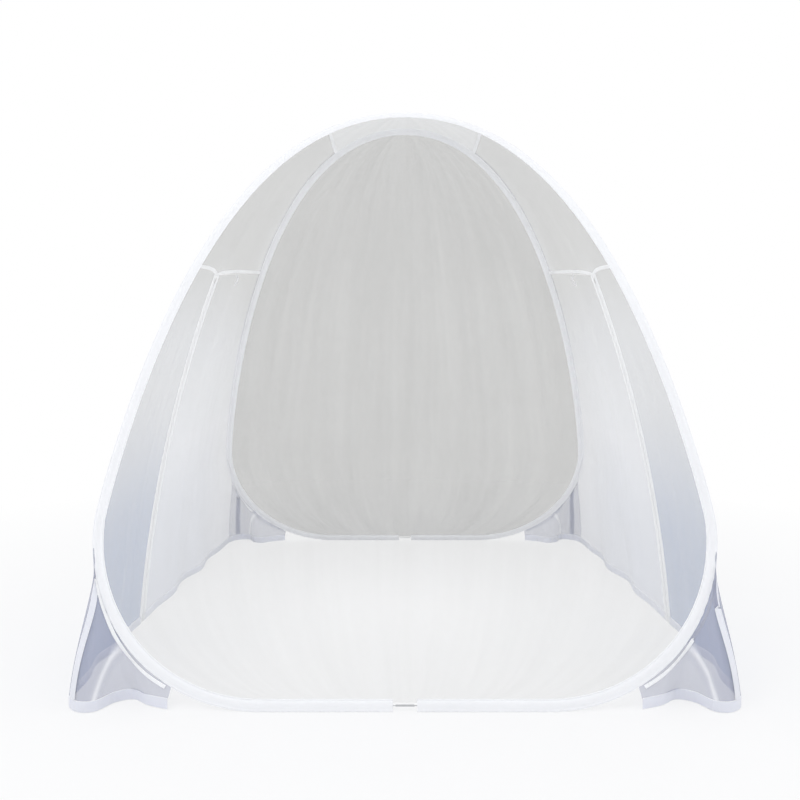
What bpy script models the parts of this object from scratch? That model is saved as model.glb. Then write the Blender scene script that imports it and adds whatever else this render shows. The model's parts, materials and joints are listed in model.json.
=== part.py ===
"""Pop-up mosquito net tent for a wide bed.

Two closed spring wire hoops in cloth sleeves lean together under a roof strip.
Each hoop bows outwards a little on its way up, as sprung wire does.
Fine net fills both hoops and both sides, each side has a zipped door, and net
skirts hang from the lower corners of the hoops to the floor.
The origin is on the floor under the middle, X to the right, the foot end at -Y.
"""
import math

import bmesh
import bpy
from mathutils import Matrix, Vector

# Overall sizes, in metres
TENT_LENGTH = 2.0
ROOF_GAP = 0.20
HOOP_HEIGHT = 1.866
HOOP_WIDTH = 1.760
HOOP_BOW = 0.092
CORNER_RADIUS = 0.50
SIDE_FLARE = 0.020

# Upper outline of a hoop: handle shares of one Bezier curve from the widest point to the top
RISE_HANDLE_SHARE = 0.04
TOP_HANDLE_SHARE = 0.81

# Hoop wire, its crimped joint and its sleeve
WIRE_RADIUS = 0.0013
WIRE_END_GAP = 0.001
FERRULE_LENGTH = 0.050
FERRULE_WALL = 0.0009
SLEEVE_WIDTH = 0.032
SLEEVE_THICKNESS = 0.0052
SLEEVE_EDGE_THICKNESS = 0.0022
SLEEVE_SHOULDER = 0.006
SLEEVE_ENTRY = 0.064
FOOT_CUT = 0.0008

# Clearances
TOUCH_GAP = 0.0003
SEAM_GAP = 0.0009
RUNNING_GAP = 0.0004

# Cloth
NET_THICKNESS = 0.0010
ROOF_THICKNESS = 0.0012
ROOF_HALF_SPAN = 0.285
ROOF_SAG = 0.012
HEM_HEIGHT = 0.030
HEM_THICKNESS = 0.0018
HEM_CLEARANCE = 0.0015
ATTACH_OUTSET = 0.009

# Side door: its zip follows an arc in a plane across the tent
DOOR_OFFSET = 0.30
ZIP_TOP_INSET = 0.211
ZIP_TOP_DROP = 0.644
ZIP_FOOT_OUTSET = 0.051
ZIP_FOOT_Z = 0.004
ZIP_BOW = 0.0450
ZIP_SLIT = 0.0018
COIL_WIDTH = 0.0026
COIL_HEIGHT = 0.0026
ZIP_TAPE_WIDTH = 0.012
ZIP_TAPE_THICKNESS = 0.0008

# Zip slider, stops and pull
SLIDER_LENGTH = 0.014
SLIDER_WIDTH = 0.0092
SLIDER_PLATE = 0.0010
STOP_LENGTH = 0.0045
STOP_WIDTH = 0.0074
BAIL_RADIUS = 0.0007
BAIL_POST = 0.0009
BAIL_CHEEK = 0.0025
BAIL_CROWN = 0.0004
PULL_EYE_WALL = 0.00085
PULL_SLOT = math.radians(22)
PULL_LENGTH = 0.034
PULL_WIDTH = 0.0056
PULL_THICKNESS = 0.0012

# Cross tape over each door and the tie that hangs from it
TAPE_WIDTH = 0.015
TAPE_THICKNESS = 0.0012
TAPE_FRONT_DROP = 0.624
TAPE_DOOR_DROP = 0.633
TAPE_REAR_DROP = 0.533
TIE_BEHIND_DOOR = 0.21
TIE_WIDTH = 0.006
TIE_THICKNESS = 0.0010
TIE_DROP = 0.046
TIE_HOOK = 0.016
TIE_LIFT = 0.008

# Folds at the foot of the side nets
SKIRT_FOLD_DEPTH = 0.016
SKIRT_FOLD_TOP = 0.46
FOLD_FADE_SHARE = 1.5

# Corner skirts: shares of the reach across and of the wave along, at even steps of the hem
CORNER_SEAM_INSET = 0.070
CORNER_SWEEP = math.radians(62)
CORNER_REACH = 0.280
CORNER_WAVE = 0.075
CORNER_BELLY = 0.006
CORNER_EASE_SHARE = 0.3
CORNER_ACROSS_SHARES = (0.0, 0.06, 0.19, 0.34, 0.45, 0.61, 0.79, 1.0)
CORNER_ALONG_SHARES = (0.0, 0.62, 1.0, 0.92, 0.22, -0.04, 0.44, 0.76)

# Angles over which a shaded edge stays sharp
ROUND_ANGLE = math.radians(70)
CLOTH_ANGLE = math.radians(50)
EDGE_ANGLE = math.radians(35)

# Counts
FRONT_FOLDS = 2
REAR_FOLDS = 3
BAR_STEPS = 3
CORNER_STEPS = 10
UPPER_STEPS = 19
NET_ROWS = 10
ZIP_STEPS = 30
PANEL_ROWS = 12
PANEL_COLUMNS = 12
SKIRT_COLUMNS = 16
SKIRT_ROWS = 6
UPPER_ROWS = 9
ROOF_ROWS = 5
ROOF_COLUMNS = 20
TIE_STEPS = 8
WIRE_SIDES = 6
ROUND_SIDES = 12

# The bow follows t * t * (1 - t) up the hoop, which this share brings to 1 at its highest
BOW_PEAK_SHARE = 27 / 4

# Sizes that follow from the driving ones
HALF_LENGTH = TENT_LENGTH / 2
HALF_WIDTH = HOOP_WIDTH / 2
LEAN = math.atan((HALF_LENGTH - ROOF_GAP / 2) / HOOP_HEIGHT)
SLEEVE_HALF = SLEEVE_WIDTH / 2
FOOT_RISE = SLEEVE_HALF + (SLEEVE_EDGE_THICKNESS / 2 * math.sin(LEAN) - FOOT_CUT) / math.cos(LEAN)
HOOP_TOP = HOOP_HEIGHT / math.cos(LEAN)
WIDEST = FOOT_RISE + CORNER_RADIUS
WIDEST_Z = WIDEST * math.cos(LEAN)
HINGE = Vector((0, -ROOF_GAP / 2, HOOP_HEIGHT))
CORNER_SEAM_FOOT = HALF_LENGTH - CORNER_SEAM_INSET
ZIP_TOP_X = HALF_WIDTH - ZIP_TOP_INSET
ZIP_TOP_Z = HOOP_HEIGHT - ZIP_TOP_DROP
ZIP_FOOT_X = HALF_WIDTH + ZIP_FOOT_OUTSET
TAPE_FRONT_Z = HOOP_HEIGHT - TAPE_FRONT_DROP
TAPE_DOOR_Z = HOOP_HEIGHT - TAPE_DOOR_DROP
TAPE_REAR_Z = HOOP_HEIGHT - TAPE_REAR_DROP
TUNNEL_RADIUS = WIRE_RADIUS + RUNNING_GAP
HEM_TOP = HEM_CLEARANCE + HEM_HEIGHT
PANEL_FOOT = HEM_TOP + SEAM_GAP
DOOR_HALF = ZIP_SLIT / 2 + COIL_WIDTH + ZIP_TAPE_WIDTH
SLIDER_PLACE = STOP_LENGTH + SLIDER_LENGTH / 2 + RUNNING_GAP
PLATE_INSIDE = COIL_HEIGHT / 2 + RUNNING_GAP
PULL_EYE_BORE = BAIL_RADIUS + RUNNING_GAP
PULL_EYE_RADIUS = PULL_EYE_BORE + PULL_EYE_WALL
BAIL_LIFT = PLATE_INSIDE + SLIDER_PLATE + RUNNING_GAP + PULL_EYE_RADIUS


def lerp(a, b, share):
    return a + (b - a) * share


def material(name, colour, roughness, metallic=0.0):
    found = bpy.data.materials.get(name)
    if found:
        return found
    made = bpy.data.materials.new(name)
    made.use_nodes = True
    shader = made.node_tree.nodes["Principled BSDF"]
    shader.inputs["Base Color"].default_value = (*colour, 1)
    shader.inputs["Roughness"].default_value = roughness
    shader.inputs["Metallic"].default_value = metallic
    made.diffuse_color = (*colour, 1)
    return made


def net_cloth():
    return material("net_cloth", (0.80, 0.81, 0.84), 0.8)


def sleeve_cloth():
    return material("sleeve_cloth", (0.92, 0.92, 0.93), 0.75)


def roof_cloth():
    return material("roof_cloth", (0.86, 0.86, 0.87), 0.8)


def tape_cloth():
    return material("tape_cloth", (0.90, 0.90, 0.92), 0.7)


def spring_steel():
    return material("spring_steel", (0.55, 0.56, 0.58), 0.35, 1.0)


def white_enamel():
    return material("white_enamel", (0.88, 0.88, 0.88), 0.35)


def add_object(name, mesh_maker, finish, parent=None, smooth=None):
    """Turns a bmesh into a named object with faces pointing out."""
    bmesh.ops.recalc_face_normals(mesh_maker, faces=mesh_maker.faces[:])
    if mesh_maker.calc_volume(signed=True) < 0:
        bmesh.ops.reverse_faces(mesh_maker, faces=mesh_maker.faces[:])
    mesh = bpy.data.meshes.new(name)
    mesh_maker.to_mesh(mesh)
    mesh_maker.free()
    mesh.materials.append(finish)
    if smooth is not None:
        mesh.shade_smooth()
        mesh.set_sharp_from_angle(angle=smooth)
    made = bpy.data.objects.new(name, mesh)
    bpy.context.collection.objects.link(made)
    if parent:
        made.parent = parent
        made.matrix_parent_inverse = parent.matrix_world.inverted()
    return made


def add_pivot(name, place, parent=None):
    """An empty on a joint's axis, which carries the pieces that turn about it."""
    pivot = bpy.data.objects.new(name, None)
    pivot.empty_display_size = SLEEVE_WIDTH
    bpy.context.collection.objects.link(pivot)
    pivot.location = place
    bpy.context.view_layer.update()
    if parent:
        pivot.parent = parent
        pivot.matrix_parent_inverse = parent.matrix_world.inverted()
        bpy.context.view_layer.update()
    return pivot


def frame_of(across, second, along, place):
    """Station matrix from two section axes, the path's direction and a place."""
    frame = Matrix.Identity(4)
    for column, axis in enumerate((across, second, along, place)):
        for row in range(3):
            frame[row][column] = axis[row]
    return frame


def sweep(stations, loops):
    """Carries one or two closed section loops through a list of station matrices."""
    work = bmesh.new()
    first = []
    for loop in loops:
        verts = [work.verts.new(stations[0] @ Vector((u, w, 0))) for u, w in loop]
        first += [work.edges.new((a, b)) for a, b in zip(verts, verts[1:] + verts[:1])]
    current = first
    for here, ahead in zip(stations, stations[1:]):
        grown = bmesh.ops.extrude_edge_only(work, edges=current)["geom"]
        fresh = [item for item in grown if isinstance(item, bmesh.types.BMVert)]
        reached = set(fresh)
        current = [
            item for item in grown
            if isinstance(item, bmesh.types.BMEdge) and set(item.verts) <= reached
        ]
        bmesh.ops.transform(work, matrix=ahead @ here.inverted(), verts=fresh)
    for edges, station in ((first, stations[0]), (current, stations[-1])):
        if len(loops) == 1:
            bmesh.ops.contextual_create(work, geom=edges)
        else:
            facing = station.to_3x3().col[2]
            bmesh.ops.triangle_fill(work, edges=edges, use_beauty=True, normal=facing)
    return work


def sheet(columns, rows, place, thickness):
    """A closed cloth panel: a grid bent to place(column share, row share), then thickened."""
    work = bmesh.new()
    bmesh.ops.create_grid(work, x_segments=columns, y_segments=rows, size=0.5)
    for vert in work.verts:
        vert.co = place(vert.co.x + 0.5, vert.co.y + 0.5)
    bmesh.ops.recalc_face_normals(work, faces=work.faces[:])
    work.normal_update()
    skin = work.faces[:]
    lifted = {vert: vert.normal * thickness / 2 for vert in work.verts}
    grown = bmesh.ops.extrude_face_region(work, geom=skin)["geom"]
    top = [item for item in grown if isinstance(item, bmesh.types.BMVert)]
    below = {tuple(vert.co): vert for vert in lifted}
    for vert in top:
        vert.co += lifted[below[tuple(vert.co)]]
    for vert, lift in lifted.items():
        vert.co -= lift
    for face in skin:
        if face.is_valid:
            face.normal_flip()
    return work


def hoop_outline(start=0.0):
    """Points of a hoop in its own plane (across, up), from one side of the foot bar round to the other."""
    straight = HALF_WIDTH - CORNER_RADIUS
    half = [Vector((lerp(start, straight, i / BAR_STEPS), FOOT_RISE)) for i in range(BAR_STEPS)]
    for i in range(CORNER_STEPS):
        turn = math.pi / 2 * i / CORNER_STEPS
        half.append(Vector((
            straight + CORNER_RADIUS * math.sin(turn),
            WIDEST - CORNER_RADIUS * math.cos(turn),
        )))
    half += upper_outline()
    mirrored = [Vector((-point.x, point.y)) for point in reversed(half)]
    return half + mirrored[1:]


def upper_outline():
    """The hoop from its widest point to its top."""
    points = []
    rise = HOOP_TOP - WIDEST
    for i in range(UPPER_STEPS + 1):
        s = i / UPPER_STEPS
        weights = ((1 - s) ** 3, 3 * s * (1 - s) ** 2, 3 * s * s * (1 - s), s ** 3)
        across = weights[0] + weights[1] + weights[2] * TOP_HANDLE_SHARE
        up = weights[1] * RISE_HANDLE_SHARE + weights[2] + weights[3]
        points.append(Vector((HALF_WIDTH * across, WIDEST + rise * up)))
    return points


def outward(points, i, closed=False):
    """Unit normal in the hoop's plane, pointing away from its middle."""
    last = len(points) - 1
    before = points[i - 1] if i > 0 or closed else points[i]
    after = points[(i + 1) % len(points)] if i < last or closed else points[i]
    along = (after - before).normalized()
    return Vector((along.y, -along.x))


def bow(up):
    """How far a hoop stands outside its flat plane, measured along the tent."""
    t = up / HOOP_TOP
    return HOOP_BOW * BOW_PEAK_SHARE * t * t * (1 - t)


def rise_direction(up):
    """Unit direction (away from the tent's middle, upwards) in which a bowed hoop climbs."""
    t = up / HOOP_TOP
    spread = HOOP_BOW / HOOP_TOP * BOW_PEAK_SHARE * t * (2 - 3 * t)
    return Vector((spread - math.sin(LEAN), math.cos(LEAN))).normalized()


def hoop_point(end, across, up, inside=0.0):
    """World place of a point of a hoop's surface; end is -1 at the front and 1 at the rear."""
    climb = rise_direction(up)
    return Vector((
        across,
        end * (HALF_LENGTH - up * math.sin(LEAN) + bow(up) - inside * climb.y),
        up * math.cos(LEAN) + inside * climb.x,
    ))


def hoop_station(end, points, i):
    """Frame at a point of the hoop: section x runs outwards and section y into the tent."""
    normal = outward(points, i)
    climb = rise_direction(points[i].y)
    out = Vector((normal.x, end * normal.y * climb.x, normal.y * climb.y))
    inward = Vector((0, -end * climb.y, climb.x))
    return frame_of(out, inward, out.cross(inward), hoop_point(end, points[i].x, points[i].y))


def hoop_stations(end, start):
    points = hoop_outline(start)
    return [hoop_station(end, points, i) for i in range(len(points))]


def circle(radius, sides):
    return [
        (radius * math.cos(2 * math.pi * i / sides), radius * math.sin(2 * math.pi * i / sides))
        for i in range(sides)
    ]


def make_wire(name, end, parent):
    work = sweep(hoop_stations(end, WIRE_END_GAP / 2), [circle(WIRE_RADIUS, WIRE_SIDES)])
    return add_object(name, work, spring_steel(), parent, smooth=ROUND_ANGLE)


def make_ferrule(name, end, parent):
    """Crimped tube that joins the two wire ends on the foot bar."""
    ends = [Vector((x, FOOT_RISE)) for x in (-FERRULE_LENGTH / 2, 0, FERRULE_LENGTH / 2)]
    stations = [hoop_station(end, ends, i) for i in range(len(ends))]
    bore = WIRE_RADIUS + TOUCH_GAP
    loops = [circle(bore + FERRULE_WALL, ROUND_SIDES), circle(bore, ROUND_SIDES)]
    return add_object(name, sweep(stations, loops), spring_steel(), parent, smooth=EDGE_ANGLE)


def sleeve_section():
    """Flat sleeve, thickest along its middle, and the round tunnel that the wire runs in."""
    edge = SLEEVE_EDGE_THICKNESS / 2
    full = SLEEVE_THICKNESS / 2
    shoulder = SLEEVE_HALF - SLEEVE_SHOULDER
    outer = [
        (SLEEVE_HALF, -edge), (SLEEVE_HALF, edge), (shoulder, full), (-shoulder, full),
        (-SLEEVE_HALF, edge), (-SLEEVE_HALF, -edge), (-shoulder, -full), (shoulder, -full),
    ]
    return [outer, circle(TUNNEL_RADIUS, len(outer))]


def make_sleeve(name, end, parent):
    """Sleeve round the whole hoop, open where the wire went in, cut flat where it stands."""
    work = sweep(hoop_stations(end, SLEEVE_ENTRY / 2), sleeve_section())
    everything = work.verts[:] + work.edges[:] + work.faces[:]
    cut = bmesh.ops.bisect_plane(
        work, geom=everything, plane_co=(0, 0, 0), plane_no=(0, 0, 1), clear_inner=True,
    )["geom_cut"]
    bmesh.ops.holes_fill(work, edges=[item for item in cut if isinstance(item, bmesh.types.BMEdge)])
    return add_object(name, work, sleeve_cloth(), parent, smooth=EDGE_ANGLE)


def make_end_net(name, end, parent):
    """Net that fills a hoop, cut to the inner edge of its sleeve and bowed with it."""
    points = hoop_outline()[1:]
    inset = SLEEVE_HALF + SEAM_GAP
    work = bmesh.new()
    rim = []
    for i in range(len(points)):
        place = points[i] - outward(points, i, closed=True) * inset
        rim.append(work.verts.new((place.x, place.y, -NET_THICKNESS / 2)))
    face = work.faces.new(rim)
    grown = bmesh.ops.extrude_face_region(work, geom=[face])["geom"]
    lifted = [item for item in grown if isinstance(item, bmesh.types.BMVert)]
    bmesh.ops.translate(work, vec=(0, 0, NET_THICKNESS), verts=lifted)
    for row in range(1, NET_ROWS):
        everything = work.verts[:] + work.edges[:] + work.faces[:]
        level = HOOP_TOP * row / NET_ROWS
        bmesh.ops.bisect_plane(work, geom=everything, plane_co=(0, level, 0), plane_no=(0, 1, 0))
    for vert in work.verts:
        vert.co = hoop_point(end, *vert.co)
    return add_object(name, work, net_cloth(), parent, smooth=CLOTH_ANGLE)


def edge_line():
    """(height, across) pairs up the hoop's side, where the side net meets the sleeve."""
    points = hoop_outline()
    widest = BAR_STEPS + CORNER_STEPS
    line = []
    for i in range(widest, widest + UPPER_STEPS + 1):
        place = points[i] + outward(points, i) * ATTACH_OUTSET
        line.append((place.y * math.cos(LEAN), place.x))
    return line


EDGE_LINE = edge_line()


def edge_across(z):
    """Half width of the side net where it meets a hoop, at height z."""
    low = EDGE_LINE[0]
    if z <= low[0]:
        return low[1] + SIDE_FLARE * (1 - z / low[0])
    for below, above in zip(EDGE_LINE, EDGE_LINE[1:]):
        if z <= above[0]:
            return lerp(below[1], above[1], (z - below[0]) / (above[0] - below[0]))
    return EDGE_LINE[-1][1]


def edge_height(x):
    """Height at which the line where the cloth meets a hoop stands over the place x."""
    for below, above in zip(EDGE_LINE, EDGE_LINE[1:]):
        if above[1] <= x:
            return lerp(below[0], above[0], (below[1] - x) / (below[1] - above[1]))
    return EDGE_LINE[-1][0]


ROOF_END_Z = edge_height(ROOF_HALF_SPAN)


def hoop_reach(z):
    """How far from the middle a hoop's inner face stands at height z, less the seam's gap."""
    up = z / math.cos(LEAN)
    lift = (SLEEVE_THICKNESS / 2 + SEAM_GAP) / rise_direction(up).y
    return HALF_LENGTH - z * math.tan(LEAN) + bow(up) - lift


def edge_reach(z):
    """How far along the tent the side net reaches at height z, on either side of the middle."""
    if z >= WIDEST_Z:
        return hoop_reach(z)
    rise = max(0.0, (z - HEM_TOP) / (WIDEST_Z - HEM_TOP))
    return lerp(CORNER_SEAM_FOOT, hoop_reach(WIDEST_Z), rise)


def zip_circle():
    """Centre and radius of the arc that the zip follows, in the XZ plane."""
    top = Vector((ZIP_TOP_X, ZIP_TOP_Z))
    foot = Vector((ZIP_FOOT_X, ZIP_FOOT_Z))
    chord = foot - top
    radius = chord.length ** 2 / (8 * ZIP_BOW) + ZIP_BOW / 2
    out = Vector((-chord.y, chord.x)).normalized()
    return (top + foot) / 2 + out * (ZIP_BOW - radius), radius


ZIP_CENTRE, ZIP_RADIUS = zip_circle()
ZIP_TOP_ANGLE = math.atan2(ZIP_TOP_Z - ZIP_CENTRE.y, ZIP_TOP_X - ZIP_CENTRE.x)
ZIP_FOOT_ANGLE = math.atan2(ZIP_FOOT_Z - ZIP_CENTRE.y, ZIP_FOOT_X - ZIP_CENTRE.x)
ZIP_LENGTH = (ZIP_TOP_ANGLE - ZIP_FOOT_ANGLE) * ZIP_RADIUS


def zip_across(z):
    return ZIP_CENTRE.x + math.sqrt(ZIP_RADIUS ** 2 - (z - ZIP_CENTRE.y) ** 2)


def roof_nearness(z):
    """0 up to the zip's top and 1 at the roof strip."""
    return min(max(0.0, (z - ZIP_TOP_Z) / (ROOF_END_Z - ZIP_TOP_Z)), 1.0)


def side_across(y, z):
    """Half width of the side net at (y, z): the hoop's edge, its draw to the zip and its folds."""
    reach = edge_reach(z)
    middle = -DOOR_OFFSET * (1 - roof_nearness(z))
    share = (y - middle) / (reach - middle) if y > middle else (middle - y) / (reach + middle)
    share = min(max(share, 0.0), 1.0)
    door_z = min(z, ZIP_TOP_Z)
    draw = (zip_across(door_z) - edge_across(door_z)) * (1 - roof_nearness(z))
    waves = REAR_FOLDS if y > middle else FRONT_FOLDS
    depth = SKIRT_FOLD_DEPTH * max(0.0, 1 - z / SKIRT_FOLD_TOP) ** FOLD_FADE_SHARE
    fold = depth * math.sin(math.pi * share) ** 2 * math.sin(2 * math.pi * waves * share)
    return edge_across(z) + draw * (1 - share * share) + fold


def side_point(side, y, z):
    return Vector((side * side_across(y, z), y, z))


def make_door_panel(name, side, end):
    """Net between one hoop and the zip, from the hem up to the cross tape."""
    near = -DOOR_OFFSET + end * (DOOR_HALF + SEAM_GAP)
    tape_edge = TAPE_WIDTH / 2 + SEAM_GAP
    hoop_top = (TAPE_FRONT_Z if end < 0 else TAPE_REAR_Z) - tape_edge
    door_top = TAPE_DOOR_Z - tape_edge

    def place(column, row):
        z_hoop = lerp(PANEL_FOOT, hoop_top, row)
        z_door = lerp(PANEL_FOOT, door_top, row)
        y = lerp(end * edge_reach(z_hoop), near, column)
        return side_point(side, y, lerp(z_hoop, z_door, column))

    work = sheet(PANEL_COLUMNS, PANEL_ROWS, place, NET_THICKNESS)
    return add_object(name, work, net_cloth(), smooth=CLOTH_ANGLE)


def make_upper_net(name, side):
    """Net above the door, from the cross tape to the end of the roof strip."""
    tape_edge = TAPE_WIDTH / 2 + SEAM_GAP
    top = ROOF_END_Z - SEAM_GAP

    def place(column, row):
        z_front = lerp(TAPE_FRONT_Z + tape_edge, top, row)
        z_door = lerp(TAPE_DOOR_Z + tape_edge, top, row)
        z_rear = lerp(TAPE_REAR_Z + tape_edge, top, row)
        middle = lerp(-DOOR_OFFSET, 0, row)
        if column < 0.5:
            y = lerp(-edge_reach(z_front), middle, column * 2)
            return side_point(side, y, lerp(z_front, z_door, column * 2))
        y = lerp(middle, edge_reach(z_rear), column * 2 - 1)
        return side_point(side, y, lerp(z_door, z_rear, column * 2 - 1))

    work = sheet(2 * PANEL_COLUMNS, UPPER_ROWS, place, NET_THICKNESS)
    return add_object(name, work, net_cloth(), smooth=CLOTH_ANGLE)


def make_cross_tape(name, side):
    """Tape sewn across the side above the door, from hoop to hoop."""
    def place(column, row):
        rise = lerp(-TAPE_WIDTH / 2, TAPE_WIDTH / 2, row)
        if column < 0.5:
            z = lerp(TAPE_FRONT_Z, TAPE_DOOR_Z, column * 2) + rise
            y = lerp(-edge_reach(TAPE_FRONT_Z + rise), -DOOR_OFFSET, column * 2)
        else:
            z = lerp(TAPE_DOOR_Z, TAPE_REAR_Z, column * 2 - 1) + rise
            y = lerp(-DOOR_OFFSET, edge_reach(TAPE_REAR_Z + rise), column * 2 - 1)
        return side_point(side, y, z)

    work = sheet(2 * PANEL_COLUMNS, 1, place, TAPE_THICKNESS)
    return add_object(name, work, tape_cloth(), smooth=CLOTH_ANGLE)


def make_door_tie(name, side):
    """Short tie tape that hangs from the cross tape, for holding a rolled door."""
    y = TIE_BEHIND_DOOR - DOOR_OFFSET
    share = TIE_BEHIND_DOOR / (edge_reach(TAPE_REAR_Z) + DOOR_OFFSET)
    top = lerp(TAPE_DOOR_Z, TAPE_REAR_Z, share) + TAPE_WIDTH / 4
    slope = (side_across(y, top - TAPE_WIDTH) - side_across(y, top)) / TAPE_WIDTH
    inset = (TAPE_THICKNESS / 2 + TIE_THICKNESS / 2 + TOUCH_GAP) * math.hypot(1, slope)
    stations = []
    for i in range(TIE_STEPS + 1):
        fall = i / TIE_STEPS
        hook = max(0.0, 2 * fall - 1)
        stations.append(Matrix.Translation((
            side * (side_across(y, top) - inset),
            y - TIE_HOOK * hook ** 2,
            top - TIE_DROP * fall + TIE_LIFT * hook ** 3,
        )))
    half = TIE_THICKNESS / 2
    edge = TIE_WIDTH / 2
    section = [(-half, -edge), (half, -edge), (half, edge), (-half, edge)]
    return add_object(name, sweep(stations, [section]), tape_cloth(), smooth=EDGE_ANGLE)


def make_side_hem(name, side, end):
    """Folded hem along the foot of a door panel."""
    near = -DOOR_OFFSET + end * (DOOR_HALF + SEAM_GAP)

    def place(column, row):
        z = lerp(HEM_CLEARANCE, HEM_TOP, row)
        return side_point(side, lerp(end * edge_reach(z), near, column), z)

    work = sheet(PANEL_COLUMNS, 1, place, HEM_THICKNESS)
    return add_object(name, work, tape_cloth(), smooth=CLOTH_ANGLE)


def make_roof(name):
    """Opaque strip between the tops of the hoops."""
    def place(column, row):
        x = lerp(-ROOF_HALF_SPAN, ROOF_HALF_SPAN, column)
        z = edge_height(abs(x))
        reach = edge_reach(z)
        y = lerp(-reach, reach, row)
        dip = ROOF_SAG * (1 - (x / ROOF_HALF_SPAN) ** 2) * (1 - (y / reach) ** 2)
        return Vector((x, y, z - dip))

    work = sheet(ROOF_COLUMNS, ROOF_ROWS, place, ROOF_THICKNESS)
    return add_object(name, work, roof_cloth(), smooth=CLOTH_ANGLE)


def smooth_share(shares, place):
    """Reads a table of shares at a place between its entries, along a smooth curve."""
    last = len(shares) - 1
    i = min(int(place), last - 1)
    t = place - i
    before, here, ahead, after = [shares[max(0, min(last, i + k))] for k in (-1, 0, 1, 2)]
    return here + 0.5 * t * (
        ahead - before
        + t * (2 * before - 5 * here + 4 * ahead - after)
        + t * t * (3 * here - before - 3 * ahead + after)
    )


def corner_hem_line(share):
    """Plan of a corner skirt's hem, (across, along), with one deep wave as the cloth falls."""
    place = share * (len(CORNER_ACROSS_SHARES) - 1)
    across = edge_across(HEM_TOP) - CORNER_REACH * smooth_share(CORNER_ACROSS_SHARES, place)
    along = CORNER_WAVE * smooth_share(CORNER_ALONG_SHARES, place)
    return across, CORNER_SEAM_FOOT + SEAM_GAP + along


def corner_top(end, share):
    """Point on the outer edge of the sleeve, down its lower corner from the widest place."""
    turn = CORNER_SWEEP * share
    reach = CORNER_RADIUS + SLEEVE_HALF + SEAM_GAP
    across = HALF_WIDTH - CORNER_RADIUS + reach * math.cos(turn)
    return hoop_point(end, across, WIDEST - reach * math.sin(turn))


def make_corner_skirt(name, side, end, parent):
    """Net from the sleeve's lower corner to the hem; only its middle bellies out."""
    def place(column, row):
        across, along = corner_hem_line(column)
        low = Vector((across, end * along, PANEL_FOOT))
        high = corner_top(end, column)
        middle = math.sin(math.pi * column)
        ease = row ** (1 + CORNER_EASE_SHARE * middle)
        belly = CORNER_BELLY * math.sin(math.pi * row) * middle
        return Vector((
            side * (lerp(low.x, high.x, ease) + belly),
            lerp(low.y, high.y, ease) + end * belly,
            lerp(low.z, high.z, row),
        ))

    work = sheet(SKIRT_COLUMNS, SKIRT_ROWS, place, NET_THICKNESS)
    return add_object(name, work, net_cloth(), parent, smooth=CLOTH_ANGLE)


def make_corner_hem(name, side, end, parent):
    def place(column, row):
        across, along = corner_hem_line(column)
        return Vector((side * across, end * along, lerp(HEM_CLEARANCE, HEM_TOP, row)))

    work = sheet(SKIRT_COLUMNS, 1, place, HEM_THICKNESS)
    return add_object(name, work, tape_cloth(), parent, smooth=CLOTH_ANGLE)


def zip_station(side, angle):
    """Frame on the zip's arc: section x runs outwards, section y to the rear."""
    out = Vector((side * math.cos(angle), 0, math.sin(angle)))
    rear = Vector((0, 1, 0))
    centre = Vector((side * ZIP_CENTRE.x, -DOOR_OFFSET, ZIP_CENTRE.y))
    return frame_of(out, rear, out.cross(rear), centre + out * ZIP_RADIUS)


def slider_frame(side):
    """Frame of the slider at rest, near the top of the zip."""
    return zip_station(side, ZIP_TOP_ANGLE - SLIDER_PLACE / ZIP_RADIUS)


def make_zip_half(name, side, end, parent):
    """Zip tape with its coil along the slit."""
    near = ZIP_SLIT / 2
    far = near + COIL_WIDTH
    edge = far + ZIP_TAPE_WIDTH
    coil = COIL_HEIGHT / 2
    tape = ZIP_TAPE_THICKNESS / 2
    section = [
        (-coil, near), (coil, near), (coil, far), (tape, far),
        (tape, edge), (-tape, edge), (-tape, far), (-coil, far),
    ]
    section = [(u, end * w) for u, w in section]
    angles = [lerp(ZIP_TOP_ANGLE, ZIP_FOOT_ANGLE, i / ZIP_STEPS) for i in range(ZIP_STEPS + 1)]
    stations = [zip_station(side, angle) for angle in angles]
    return add_object(name, sweep(stations, [section]), tape_cloth(), parent)


def clip_section(half_width):
    """Two plates joined by a web that runs in the slit between the coils."""
    high = PLATE_INSIDE + SLIDER_PLATE
    web = ZIP_SLIT / 2 - RUNNING_GAP
    upper = [
        (PLATE_INSIDE, web), (PLATE_INSIDE, half_width), (high, half_width),
        (high, -half_width), (PLATE_INSIDE, -half_width), (PLATE_INSIDE, -web),
    ]
    lower = [(-u, w) for u, w in reversed(upper)]
    return upper + lower


def add_clip(name, side, distance, length, width, parent):
    """A clip on the zip, its middle at a distance down the arc from the zip's top."""
    frame = zip_station(side, ZIP_TOP_ANGLE - distance / ZIP_RADIUS)
    stations = [frame @ Matrix.Translation((0, 0, shift)) for shift in (-length / 2, length / 2)]
    return add_object(name, sweep(stations, [clip_section(width / 2)]), white_enamel(), parent)


def join(target, name, work):
    """Adds a shape to target with a Boolean union; the shape itself stays hidden."""
    extra = add_object(name, work, white_enamel(), target.parent)
    extra.hide_render = True
    extra.display_type = "WIRE"
    union = target.modifiers.new(name, "BOOLEAN")
    union.operation = "UNION"
    union.solver = "EXACT"
    union.object = extra


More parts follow.
